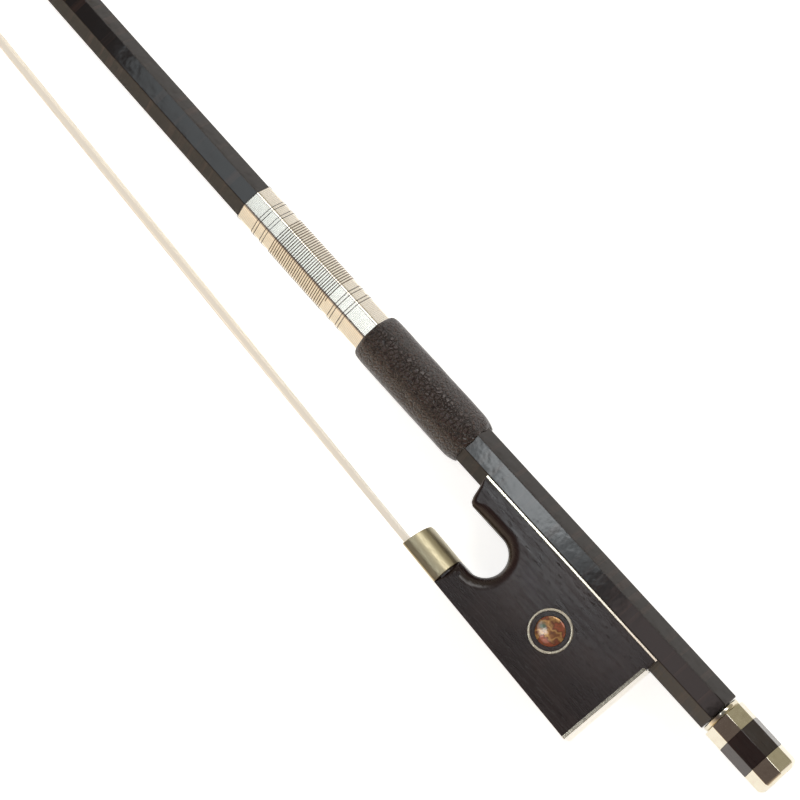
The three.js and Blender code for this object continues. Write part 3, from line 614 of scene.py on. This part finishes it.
def stick_mesh():
    rings, lengths = [], []

    def ring_at(x, section):
        middle = camber(x)
        rings.append([(x, middle + y, z) for y, z in section])
        lengths.append(-x)

    bare = octagon_ring(HANDLE_FLATS / 2, 2.4)
    turned = [(y * NIPPLE[0] / math.hypot(y, z), z * NIPPLE[0] / math.hypot(y, z)) for y, z in bare]
    ring_at(NIPPLE[1], turned)
    ring_at(0.0, turned)
    apothem = HANDLE_FLATS / 2
    for x, less in ((0.0, 0.2), (-0.06, 0.06), (-0.2, 0.0)):
        ring_at(x, octagon_ring(apothem - less, STICK_CORNER))
    stations = [-5.0 * i for i in range(1, 14)] + [HANDLE_FRONT]
    x = HANDLE_FRONT - 6
    while x > HEAD_ROOT + 4:
        stations.append(x)
        x -= 6.0
    stations.append(HEAD_ROOT)
    for x in stations:
        half = flats(x) / 2
        ring_at(x, octagon_ring(half, lerp(STICK_CORNER, half, roundness(x))))

    angles = [math.atan2(z, y) for y, z in octagon_ring(1.0, 1.0)]
    steps = 40
    run = -HEAD_ROOT
    last = head_outer(0)
    for step in range(1, steps + 1):
        t = step / steps
        (ox, oy), (ix, iy) = head_outer(t), head_inner(smooth(t) * 0.35 + t * 0.65)
        run += 0.5 * math.hypot(ox - last[0], oy - last[1])
        last = (ox, oy)
        width = head_half_width((oy + iy) / 2 if t < 1 else 10)
        shape = smooth(t / 0.75)
        ring = []
        for angle in angles:
            share, wide = plan_half(abs(angle) / math.pi)
            round_share = (1 - math.cos(angle)) / 2
            f = lerp(round_share, share, shape)
            z = lerp(math.sin(abs(angle)) * flats(HEAD_ROOT) / 2, wide * width, shape)
            px, py = lerp(ox, ix, f), lerp(oy, iy, f)
            if step == steps:
                py = plate_face(px) + TIP_PLATE
            ring.append((px, py, math.copysign(z, angle)))
        rings.append(ring)
        lengths.append(run)

    # the mortise for the hair, in the head's flat end
    x0, x1, half, top = -721.5, -711.2, 3.5, 17.0
    middle, reach = (x0 + x1) / 2, (x1 - x0) / 2
    low = []
    for px, py, pz in rings[-1]:
        dx, dz = px - middle, pz
        scale = min(reach / max(abs(dx), 1e-6), half / max(abs(dz), 1e-6))
        qx = middle + dx * scale
        low.append((qx, plate_face(qx) + TIP_PLATE, dz * scale))
    rings += [low, [(px, top, pz) for px, _, pz in low]]
    lengths += [run + 5, run + 10]
    body = loft(rings, lengths)
    bore = lathe([(-70.0, 0.0), (-70.0, 1.6), (5.0, 1.6), (5.0, 0.0)], 32)
    slot_ring = [(-39.0, -6.0), (-24.6, -6.0), (-24.6, 2.7), (-39.0, 2.7)]
    slot = loft([[(px, py, z) for px, py in slot_ring] for z in (-2.3, 2.3)])
    return cut(body, [bore, slot])


piece("stick_shaft", stick_mesh(), CARBON, "stick", ["stick"], sharp=50)
dress("tip_plate", BONE, 0.12)
dress("tip_liner", EBONY, 0.05)
dress("tip_plug", MAPLE, 0.1)
dress("tip_hair_knot", HAIR, 0.2)


# ---------------------------------------------------------------- winding
WINDING_FRONT, WINDING_REAR = -132.05, -96.6
FOIL_PROUD = 0.14
THREAD_RADIUS = 0.075
FINE_WIRE_RADIUS = 0.1
COIL_STEPS = 56


def winding_sleeve():
    rings, lengths = [], []
    count = 44
    for i in range(count + 1):
        x = lerp(WINDING_FRONT, WINDING_REAR, i / count)
        section = octagon_ring(flats(x) / 2 + FOIL_PROUD, 1.0)
        rings.append([(x, camber(x) + y, z) for y, z in section])
        lengths.append(-x)

    def turned_in(x):
        return [(x, camber(x) + y, z) for y, z in octagon_ring(flats(x) / 2 - 0.1, 0.5)]

    rings = [turned_in(WINDING_FRONT), *rings, turned_in(WINDING_REAR)]
    lengths = [-WINDING_FRONT, *lengths, -WINDING_REAR]
    return loft(rings, lengths, caps=(False, False))


def coil(x0, x1, turns, radius=THREAD_RADIUS):
    """A thread wound round the octagon from x0 to x1."""
    path = []
    total = round(turns * COIL_STEPS)
    section = octagon_ring(1.0, 0.25)

    def shape(angle):
        """How far out the octagon is in one direction."""
        dy, dz = math.cos(angle), math.sin(angle)
        for (y0, z0), (y1, z1) in zip(section, section[1:] + section[:1]):
            across = dy * (z1 - z0) - dz * (y1 - y0)
            if across > 1e-9 and dy * z0 - dz * y0 <= 1e-9 <= dy * z1 - dz * y1 + 2e-9:
                return (y0 * z1 - z0 * y1) / across
        return 1.0

    for i in range(total + 1):
        x = lerp(x0, x1, i / total)
        angle = 2 * math.pi * turns * i / total
        far = (flats(x) / 2 + FOIL_PROUD) * shape(angle) - radius * 0.1
        path.append(Vector((x, camber(x) + far * math.cos(angle), far * math.sin(angle))))
    return tube(path, radius)


def tube(path, radius, sides=8):
    rings = []
    for i, p in enumerate(path):
        ahead = (path[min(i + 1, len(path) - 1)] - path[max(i - 1, 0)]).normalized()
        side = ahead.cross(Vector((1, 0, 0)) if abs(ahead.x) < 0.9 else Vector((0, 0, 1))).normalized()
        up = side.cross(ahead)
        ring = []
        for k in range(sides):
            a = 2 * math.pi * k / sides
            ring.append(tuple(p + side * (radius * math.cos(a)) + up * (radius * math.sin(a))))
        rings.append(ring)
    return loft(rings)


piece("winding_wire", winding_sleeve(), FOIL, "stick", ["winding"], sharp=60)
THREADS = (-127.85, -125.44, -105.19, -102.79, -127.17, -124.76, -104.48, -102.10, WINDING_FRONT + 0.07)
coils = [coil(x - 0.02, x + 0.02, 1.0) for x in THREADS]
piece("winding_thread", join(coils), THREAD, "stick", sharp=60)
fine_wire = coil(-122.82, -107.12, 29.35, FINE_WIRE_RADIUS)
piece("winding_fine_wire", fine_wire, DARK_WIRE, "stick", sharp=60)


# ---------------------------------------------------------------- leather grip
GRIP_FRONT, GRIP_RADIUS = -96.5, 5.38


def grip_mesh():
    """Glued leather: (distance, radius) along it, with a seam, a slight unevenness and a ragged rear edge."""
    profile = [(0.0, 4.3), (0.0, 4.72), (0.16, 4.98), (0.45, 5.18), (0.9, 5.3), (1.6, 5.37)]
    profile += [(2.4 + 0.75 * i, GRIP_RADIUS) for i in range(32)]
    profile += [(26.4, 5.33), (27.1, 5.22), (27.7, 5.07), (28.2, 4.9), (28.55, 4.76), (28.8, 4.62)]
    profile.append((28.8, 4.2))
    count = 96
    rings, lengths = [], []
    for along, radius in profile:
        ring = []
        for k in range(count):
            a = 2 * math.pi * k / count
            spot = Vector((along * 0.35, 2.0 * math.cos(a), 2.0 * math.sin(a)))
            swell = 0.05 * noise.noise(spot) + 0.02 * noise.noise(spot * 3.1)
            bulge = 0.05 * math.cos(8 * a + math.pi)
            edge = smooth((along - 26) / 2.5)
            ragged = edge * (0.55 * noise.noise(Vector((3.0, 2.6 * math.cos(a), 2.6 * math.sin(a)))))
            x = GRIP_FRONT + along + ragged
            seam = -0.12 * math.exp(-(((a - 4.2) / 0.05) ** 2))
            far = radius + (swell + bulge + seam if radius > 4.35 else 0)
            ring.append((x, camber(x) + far * math.cos(a), far * math.sin(a)))
        rings.append(ring)
        lengths.append(along)
    return loft(rings, lengths)


piece("thumb_grip", grip_mesh(), LEATHER, "stick", ["thumb_leather"], sharp=70, weighted=False)


# ---------------------------------------------------------------- frog
THROAT = (-50.24, -12.25, 4.27)  # the throat's centre and radius
FROG_FRONT = -60.85
EYE_AT = (-31.34, -12.82)


def frog_outline():
    """Corners of the frog's side, each with the radius its edge is eased by."""
    cx, cy, r = THROAT
    heel = SHEET + FIT
    corners = [
        (FROG_FRONT, RAIL_TOP, 0.14),
        (-60.35, -4.2, 0.7),
        (-59.75, -6.6, 1.1),
        (-59.25, -7.55, 1.2),
        (-58.5, cy + r + 0.02, 1.4),
        (-57.0, cy + r, 2.2),
        (-55.0, cy + r, 2.6),
    ]
    for i in range(25):
        a = math.pi / 2 - math.pi * i / 24
        corners.append((cx + r * math.cos(a), cy + r * math.sin(a), 2.6))
    corners += [
        (FERRULE_REAR, TONGUE_TOP, 2.5),
        (FERRULE_REAR, sole(FERRULE_REAR), 0.3),
        (HEEL_FOOT_X - heel, sole(HEEL_FOOT_X), 0.25),
        (FROG_REAR - heel, HEEL_TOP, 0.05),
        (FROG_REAR, HEEL_TOP, 0.12),
        (FROG_REAR, RAIL_TOP, 0.14),
    ]
    points = []
    for (x0, y0, r0), (x1, y1, r1) in zip(corners, corners[1:] + corners[:1]):
        steps = max(1, round(math.hypot(x1 - x0, y1 - y0) / 1.2))
        for i in range(steps):
            t = i / steps
            points.append((lerp(x0, x1, t), lerp(y0, y1, t), lerp(r0, r1, t)))
    return points


def inward(points):
    """For each point of a clockwise or anticlockwise outline, the mitred direction into it."""
    area = sum(a[0] * b[1] - b[0] * a[1] for a, b in zip(points, points[1:] + points[:1]))
    turn = 1.0 if area > 0 else -1.0
    out = []
    for i, p in enumerate(points):
        before, after = points[i - 1], points[(i + 1) % len(points)]
        d0 = Vector((p[0] - before[0], p[1] - before[1])).normalized()
        d1 = Vector((after[0] - p[0], after[1] - p[1])).normalized()
        n0, n1 = Vector((-d0.y, d0.x)) * turn, Vector((-d1.y, d1.x)) * turn
        n = (n0 + n1).normalized()
        out.append(n / max(0.5, n.dot(n0)))
    return out


def hollowed(mesh, levels=26):
    """The frog's flat-sided block, cut into level strips and drawn in to its hollow sides."""
    bm = bmesh.new()
    bm.from_mesh(mesh)
    for i in range(1, levels):
        y = lerp(RAIL_TOP, sole(FROG_REAR), i / levels)
        everything = bm.verts[:] + bm.edges[:] + bm.faces[:]
        bmesh.ops.bisect_plane(bm, geom=everything, plane_co=at(0, y, 0), plane_no=(0, 1, 0), dist=1e-7)
    for v in bm.verts:
        y = (v.co.y - ORIGIN.y) / MM
        v.co.z = ORIGIN.z + (v.co.z - ORIGIN.z) * side_z(y) / flat_side(y)
    bm.to_mesh(mesh)
    bm.free()
    return mesh


def frog_mesh():
    heel = SHEET + FIT
    rear = HEEL_FOOT_X - HEEL_SHEET - 0.4
    outline = frog_outline()
    into = inward(outline)
    layers = 8
    half = []
    for k in range(layers + 1):
        turn = math.pi / 2 * k / layers
        ring = []
        for (x, y, r), n in zip(outline, into):
            inset = r * (1 - math.sin(turn))
            px, py = x + n.x * inset, y + n.y * inset
            ring.append((px, py, flat_side(py) - r * (1 - math.cos(turn))))
        half.append(ring)
    other = [[(x, y, -z) for x, y, z in ring] for ring in reversed(half)]
    body = hollowed(loft(half + other))
    channel = HANDLE_FLATS / 2 + 2 * FIT + SHEET
    octagon = octagon_ring(channel, 0.05, per_corner=2)
    groove = loft([[(x, y, z) for y, z in octagon] for x in (-66.0, -10.0)])
    bed_ring = [(-3.95, -1.0), (3.95, -1.0), (3.95, 1.4), (-3.95, 1.4)]
    bed = loft([[(x, sole(x) + y, z) for z, y in bed_ring] for x in (FERRULE_REAR - 1, -24.35)])
    ring = [(HEEL_SOLE_FRONT, -1.0), (rear, -1.0), (rear, heel), (HEEL_SOLE_FRONT, heel)]
    wide = SOLE_HALF - HEEL_INSET
    pocket = loft([[(x, sole(x) + h, z) for x, h in ring] for z in (-wide, wide)])
    cutters = [groove, bed, pocket]
    for mirror in (1, -1):
        ring_groove = [(-1.25, 3.72), (-1.25, 4.3), (2.0, 4.3), (2.0, 3.72), (-1.25, 3.72)]
        pearl_seat = [(-1.05, 0.0), (-1.05, 2.9), (2.0, 2.9), (2.0, 0.0)]
        cutters += [eye_part(ring_groove, mirror, 64), eye_part(pearl_seat, mirror, 64)]
    return cut(body, cutters)


def eye_part(profile, mirror=1, count=96):
    """Turned from (height, radius) pairs about an axis square to one side face of the frog."""
    closed = profile[0] == profile[-1]
    lean = math.atan(SIDE_SLOPE)
    base = side_z(EYE_AT[1])
    rings = []
    for height, radius in profile[:-1] if closed else profile:
        ring = []
        for k in range(count):
            a = 2 * math.pi * k / count
            up = max(radius, AXIS_RADIUS) * math.sin(a)
            ring.append((
                EYE_AT[0] + max(radius, AXIS_RADIUS) * math.cos(a),
                EYE_AT[1] + up * math.cos(lean) + height * math.sin(lean),
                mirror * (base - up * math.sin(lean) + height * math.cos(lean)),
            ))
        rings.append(ring)
    return loft(rings, close=closed)


piece("frog_block", frog_mesh(), EBONY, "frog", ["frog_body"], sharp=38)


TUCK = 0.023  # how much the ferrule narrows below its shoulder, for each millimetre


def d_ring(half, height, inset=0.0, base=0.0):
    """(z, height) points of a D: flat at the sole, with upright sides that run into a dome."""
    shoulder, dome, corner = 1.5, 14, 0.35
    points = []
    for i in range(9):
        points.append((lerp(-half + corner, half - corner, i / 8), base))
    for i in range(1, 4):
        a = -math.pi / 2 + math.pi / 2 * i / 4
        points.append((half - corner + corner * math.cos(a), base + corner + corner * math.sin(a)))
    points.append((half, base + corner))
    for i in range(1, 4):
        points.append((half, lerp(base + corner, shoulder, i / 3)))
    points = [(z * (1 - TUCK * max(0.0, shoulder - y)), y) for z, y in points]
    for i in range(1, dome + 1):
        lean, crown = (half, height * 0.72), (half * 0.72, height)
        points.append(bezier((half, shoulder), lean, crown, (half * 0.3, height), i / dome))
    for i in range(1, 6):
        points.append((lerp(half * 0.3, 0, i / 5), height))
    mirrored = [(-z, y) for z, y in reversed(points[9:-1])]
    ring = points + mirrored
    if not inset:
        return ring
    into = inward(ring)
    return [(z + n.x * inset, y + n.y * inset) for (z, y), n in zip(ring, into)]


FERRULE_HALF = 6.5
FERRULE_HEIGHT = TONGUE_TOP - sole(FERRULE_REAR)
FERRULE_LEAN = 0.123


def ferrule_mesh():
    """A folded sheet: each ring of the mesh goes round the D, and the rings go round the sheet's own
    section, as (distance along, inset) pairs."""
    r = SHEET * 0.42
    length = FERRULE_REAR - FERRULE_FRONT
    section = [
        (0.0, r), (0.25 * r, 0.3 * r), (r, 0.0), (2.4, 0.0), (4.6, 0.0), (6.8, 0.0),
        (length - r, 0.0), (length - 0.3 * r, 0.12 * r), (length - 0.1 * r, 0.4 * r), (length, r),
        (length, SHEET), (6.8, SHEET), (4.6, SHEET), (2.4, SHEET), (r, SHEET), (0.0, SHEET - r),
    ]
    rings = []
    for along, inset in section:
        ring = []
        for z, h in d_ring(FERRULE_HALF, FERRULE_HEIGHT, inset):
            lean = FERRULE_LEAN * max(0.0, h) * max(0.0, 1 - along / length)
            x = FERRULE_FRONT + along + lean
            ring.append((x, sole(x) + h, z))
        rings.append(ring)
    return loft(rings, close=True)


piece("ferrule_band", ferrule_mesh(), SHADED_FERRULE_NICKEL, "frog", ["ferrule"], sharp=60)
tongue = []
for x, less in ((-61.0, 0.3), (-60.8, 0.0), (FERRULE_REAR + 0.4, 0.0)):
    d = d_ring(FERRULE_HALF - 0.5 - less, FERRULE_HEIGHT - 0.5 - less, base=2.9)
    tongue.append([(x, sole(x) + h, z) for z, h in d])
piece("frog_tongue", loft(tongue), EBONY, "frog")

for side, mirror in (("left", 1), ("right", -1)):
    ring = [(-1.2, 3.76), (-1.2, 4.26), (0.0, 4.26), (0.045, 4.23), (0.06, 4.17), (0.06, 3.85), (0.045, 3.79),
            (0.0, 3.76), (-1.2, 3.76)]
    piece(f"eye_band_{side}", eye_part(ring, mirror), SHADED_EYE_NICKEL, "frog",
          [f"eye_ring_{side}"])
    dome = [(-1.0, 0.0), (-1.0, 2.85), (-0.02, 2.85), (0.05, 2.8)]
    for i in range(1, 13):
        a = math.pi / 2 * i / 12
        dome.append((0.05 + 0.21 * math.sin(a), 2.8 * math.cos(a)))
    centre = at(EYE_AT[0], EYE_AT[1], mirror * side_z(EYE_AT[1]))
    piece(f"eye_shell_{side}", eye_part(dome, mirror), shell(f"abalone_{side}", centre), "frog",
          [f"eye_pearl_{side}"])



def sheet_piece(name, outline, widths, node):
    """A flat sheet from its outline in the bow's plane, with its half width at each corner."""
    sides = [[(x, y, turn * w) for (x, y), w in zip(outline, widths)] for turn in (-1, 1)]
    ob = piece(name, loft(sides), NICKEL, "frog", [node], weighted=False)
    ease = ob.modifiers.new("ease", "BEVEL")
    ease.width, ease.segments, ease.limit_method = 0.09 * MM, 3, "ANGLE"
    ease.harden_normals = True


foot = sole(HEEL_FOOT_X)
rear_top = HEEL_TOP - FIT
rear_sheet = [
    (FROG_REAR - HEEL_SHEET, rear_top), (HEEL_FOOT_X - HEEL_SHEET, foot),
    (HEEL_FOOT_X, foot), (FROG_REAR, rear_top),
]
rear_widths = [side_z(HEEL_TOP), side_z(foot), side_z(foot), side_z(HEEL_TOP)]
sheet_piece("heel_sheet_upper", rear_sheet, rear_widths, "heel_plate_upper")
sole_ends = (HEEL_SOLE_FRONT + FIT, HEEL_FOOT_X - HEEL_SHEET - 0.4 - FIT)
sole_sheet = [
    (sole_ends[0], sole(HEEL_SOLE_FRONT)), (sole_ends[1], sole(sole_ends[1])),
    (sole_ends[1], sole(sole_ends[1]) + SHEET), (sole_ends[0], sole(HEEL_SOLE_FRONT) + SHEET),
]
sheet_piece("heel_sheet_lower", sole_sheet, [SOLE_HALF - HEEL_INSET - FIT] * 4, "heel_plate_lower")

# the underslide: its lips are filed flush, so that a bright line shows along the rails
LIP_Z, LIP_TOP = 4.5, -1.93
inner = HANDLE_FLATS / 2 + 2 * FIT
outer = inner + SHEET
diagonal, corner = math.sqrt(2), math.tan(EIGHTH)
half = [
    (-outer, outer * corner), (LIP_Z - outer * diagonal, LIP_Z), (LIP_TOP, LIP_Z),
    (LIP_TOP, inner * diagonal + LIP_TOP), (-inner, inner * corner),
]
section = half + [(y, -z) for y, z in reversed(half)]
front_face = [(FROG_FRONT + 0.02 + (0.27 * (RAIL_TOP - y) + 0.25 if y < RAIL_TOP else 0), y, z)
              for y, z in section]
rear_face = [(FROG_REAR, y, z) for y, z in section]
piece("underslide_sheet", loft([front_face, rear_face]), NICKEL, "frog", ["underslide"],
      weighted=False)
for node in ("underslide_pin_front", "underslide_pin_rear", "heel_pin_upper", "heel_pin_lower"):
    dress(node, NICKEL, 0.04)
dress("slide_backing", NICKEL, 0.03)
low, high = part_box("pearl_slide")
dress("pearl_slide", shell("slide_shell", (low + high) / 2, 0.12), 0.05)
dress("eyelet", BRASS, 0.1)
dress("ferrule_wedge", MAPLE, 0.05)
dress("frog_plug", MAPLE, 0.05)
dress("frog_hair_knot", RED_THREAD, 0.15)


# ---------------------------------------------------------------- button and screw
BUTTON_FLATS = 8.52
BUTTON_CORNER = 0.2
BUTTON_TURN = math.radians(12.5)


def button_band(profile):
    """Rounded octagon rings from (x, inset) pairs."""
    rings = []
    for x, less in profile:
        section = octagon_ring(BUTTON_FLATS / 2 - less, BUTTON_CORNER, turn=BUTTON_TURN)
        rings.append([(x, y, z) for y, z in section])
    return loft(rings)


def eased(x0, x1, e0=0.1, e1=0.1):
    """(x, inset) pairs from x0 to x1, with both ends eased."""
    front = [(x0, e0), (x0 + 0.3 * e0, 0.3 * e0), (x0 + e0, 0.0)]
    return front + [(x1 - e1, 0.0), (x1 - 0.3 * e1, 0.3 * e1), (x1, e1)]


collar = [(0.12, 2.75), (0.12, 3.7), (0.16, 3.86), (0.27, 3.97), (0.45, 4.02), (0.75, 4.02), (0.95, 3.97),
          (1.1, 3.86), (1.19, 3.7), (1.19, 2.75), (0.12, 2.75)]
piece("button_lip", lathe(collar), NICKEL, "button", ["button_collar"], sharp=60)
front = button_band(eased(1.21, 5.12))
piece("button_front", front, NICKEL, "button", ["button_front_ring"])
core = button_band(eased(5.14, 11.69, 0.06, 0.06))
piece("button_middle", core, BUTTON_EBONY, "button", ["button_core"])
cap = eased(11.71, 15.2, 0.1, 0.0)[:-2]
cap += [(15.2, 0.02), (15.45, 0.12), (15.8, 0.42), (16.05, 0.8), (16.16, 1.1)]
piece("button_end", button_band(cap), NICKEL, "button", ["button_cap"])
dress("adjusting_screw", STEEL, 0.05)

# ---------------------------------------------------------------- hair
HAIR_FROG, HAIR_HEAD = (-61.3, -21.35), (-712.3, 10.0)
HAIR_SLOPE = (HAIR_HEAD[1] - HAIR_FROG[1]) / (HAIR_HEAD[0] - HAIR_FROG[0])
rng = random.Random(7)


def hair_ribbon():
    """The bundle's body: a flat band with grooved faces and full edges."""
    stations = 60
    across = 40
    rings, lengths = [], []
    grooves = [0.07 * rng.uniform(-1, 1) for _ in range(2 * across)]
    for i in range(stations + 1):
        t = i / stations
        x = lerp(HAIR_HEAD[0] + 1.2, HAIR_FROG[0] + 1.5, t)
        y = HAIR_FROG[1] + HAIR_SLOPE * (x - HAIR_FROG[0])
        half = lerp(3.4, 4.9, smooth(t))
        thick = 0.62
        ring = []
        for k in range(across):
            z = lerp(-half, half, k / (across - 1))
            round_edge = math.sqrt(max(0.55, 1 - (abs(z) / half) ** 6))
            ring.append((x, y + thick * round_edge + grooves[k], z))
        for k in range(across):
            z = lerp(half, -half, k / (across - 1))
            round_edge = math.sqrt(max(0.55, 1 - (abs(z) / half) ** 6))
            ring.append((x, y - thick * round_edge + grooves[across + k], z))
        rings.append(ring)
        lengths.append(x)
    return loft(rings, lengths)


def hair_strands(count):
    made = []
    for n in range(count):
        z0 = rng.uniform(-1, 1)
        z1 = min(1.0, max(-1.0, z0 + rng.uniform(-0.12, 0.12)))
        side = 1 if n % 2 else -1
        lift = rng.uniform(0.5, 0.72)
        wave = rng.uniform(0.02, 0.12)
        phase = rng.uniform(0, 6.28)
        radius = rng.uniform(0.075, 0.1)
        path = []
        stations = 34
        for i in range(stations + 1):
            t = i / stations
            x = lerp(HAIR_HEAD[0] + 0.6, HAIR_FROG[0] + 1.5, t)
            y = HAIR_FROG[1] + HAIR_SLOPE * (x - HAIR_FROG[0])
            half = lerp(3.5, 4.95, smooth(t))
            ends = min(1.0, 12 * t, 12 * (1 - t))
            z = half * lerp(z0, z1, t)
            off = side * lerp(0.5, lift, ends) + wave * ends * math.sin(phase + 9 * t)
            path.append(Vector((x, y + off, z)))
        made.append(tube(path, radius, 5))
    return join(made)


ribbon = piece("hair_band", hair_ribbon(), HAIR, None, ["hair_ribbon"], sharp=70, weighted=False)
strands = piece("hair_strands", hair_strands(110), HAIR, None, sharp=80, weighted=False)
for ob in (ribbon, strands):
    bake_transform(ob)

# ---------------------------------------------------------------- floor, light and camera
scene = bpy.context.scene
scene.view_settings.view_transform = "Standard"


def floor():
    mesh = bpy.data.meshes.new("floor")
    size, z = 15.0, CAD_BOX[0].z - 0.0001
    corners = [(-size, -size, z), (size, -size, z), (size, size, z), (-size, size, z)]
    mesh.from_pydata(corners, [], [(0, 1, 2, 3)])
    ob = bpy.data.objects.new("floor", mesh)
    scene.collection.objects.link(ob)
    g = Graph("pale_floor")
    diffuse = g.node("BsdfDiffuse", {"Color": (0.90, 0.895, 0.88, 1)})
    glow = g.node("Emission", {"Color": (1.0, 0.995, 0.985, 1), "Strength": 0.8})
    g.node("OutputMaterial", {"Surface": g.node("AddShader", {0: diffuse, 1: glow})})
    mesh.materials.append(g.material)


floor()

world = bpy.data.worlds.new("studio")
scene.world = world
world.use_nodes = True
tree = world.node_tree
tree.nodes.clear()
coords = tree.nodes.new("ShaderNodeTexCoord")
split = tree.nodes.new("ShaderNodeSeparateXYZ")
tree.links.new(coords.outputs["Generated"], split.inputs[0])
around = tree.nodes.new("ShaderNodeMath")
around.operation = "ARCTAN2"
tree.links.new(split.outputs["Y"], around.inputs[0])
tree.links.new(split.outputs["Z"], around.inputs[1])
share = tree.nodes.new("ShaderNodeMapRange")
share.inputs[1].default_value = -math.pi
share.inputs[2].default_value = math.pi
tree.links.new(around.outputs[0], share.inputs[0])
walls = tree.nodes.new("ShaderNodeValToRGB")
# degrees from straight up, negative on the hair's side: the colour of the room that way
ROOM = [
    (-180, (0.95, 0.93, 0.90)), (-100, (1.20, 1.05, 0.84)), (-84, (1.40, 1.14, 0.86)),
    (-55, (0.62, 0.52, 0.42)), (-32, (0.14, 0.105, 0.095)), (-18, (0.12, 0.10, 0.10)),
    (0, (0.14, 0.14, 0.15)), (22, (0.20, 0.195, 0.185)), (50, (0.30, 0.28, 0.21)),
    (70, (0.40, 0.37, 0.27)), (88, (0.42, 0.37, 0.30)), (105, (0.72, 0.67, 0.58)), (180, (0.95, 0.93, 0.90)),
]
while len(walls.color_ramp.elements) < len(ROOM):
    walls.color_ramp.elements.new(0.5)
for element, (angle, colour) in zip(walls.color_ramp.elements, ROOM):
    element.position = (angle + 180) / 360
    element.color = (*colour, 1.0)
tree.links.new(share.outputs[0], walls.inputs[0])
sky = tree.nodes.new("ShaderNodeBackground")
tree.links.new(walls.outputs[0], sky.inputs["Color"])
sky.inputs["Strength"].default_value = 1.0
out = tree.nodes.new("ShaderNodeOutputWorld")
tree.links.new(sky.outputs[0], out.inputs["Surface"])


def softbox(name, centre, size, target, colour, radiance):
    light = bpy.data.lights.new(name, "AREA")
    light.shape = "RECTANGLE"
    light.size, light.size_y = size
    light.color = colour
    light.energy = radiance * math.pi * size[0] * size[1]
    ob = bpy.data.objects.new(name, light)
    scene.collection.objects.link(ob)
    ob.location = centre
    ob.rotation_mode = "QUATERNION"
    ob.rotation_quaternion = (Vector(target) - Vector(centre)).to_track_quat("-Z", "Y")
    ob.visible_camera = False


LIGHTS = [  # name, place from the middle of the view, size, colour, radiance
    ("overhead", (-0.268, 0.05, 1.0), (0.155, 0.40), (0.86, 0.96, 1.0), 2.1),
    ("back_light", (-0.2, 0.75, 0.9), (0.9, 0.36), (1.0, 0.99, 0.97), 3.8),
    ("handle_light", (0.0, -0.03, 1.0), (0.10, 0.16), (1.0, 0.84, 0.82), 1.3),
    ("frog_light", (-0.12, 0.06, 1.0), (0.12, 0.07), (0.94, 0.98, 1.0), 5.5),
]
middle = at(-84, -4.5, 0)
for name, offset, size, colour, radiance in LIGHTS:
    softbox(name, middle + Vector(offset), size, middle, colour, radiance)

DISTANCE = 0.5
TILT = math.radians(12.5)
ROLL = math.radians(47.6)
camera = bpy.data.cameras.new("camera")
camera.sensor_width = 36
camera.lens = 118.35
camera.clip_start, camera.clip_end = 0.01, 60
view = bpy.data.objects.new("camera", camera)
scene.collection.objects.link(view)
scene.camera = view
look = at(-83.74, -4.544, 0)
back = Vector((math.sin(TILT), 0, math.cos(TILT)))
level = Vector((math.cos(TILT), 0, -math.sin(TILT)))
right = level * math.cos(ROLL) + Vector((0, 1, 0)) * math.sin(ROLL)
up = back.cross(right)
view.matrix_world = Matrix((
    (right.x, up.x, back.x, look.x + DISTANCE * back.x),
    (right.y, up.y, back.y, look.y + DISTANCE * back.y),
    (right.z, up.z, back.z, look.z + DISTANCE * back.z),
    (0, 0, 0, 1),
))
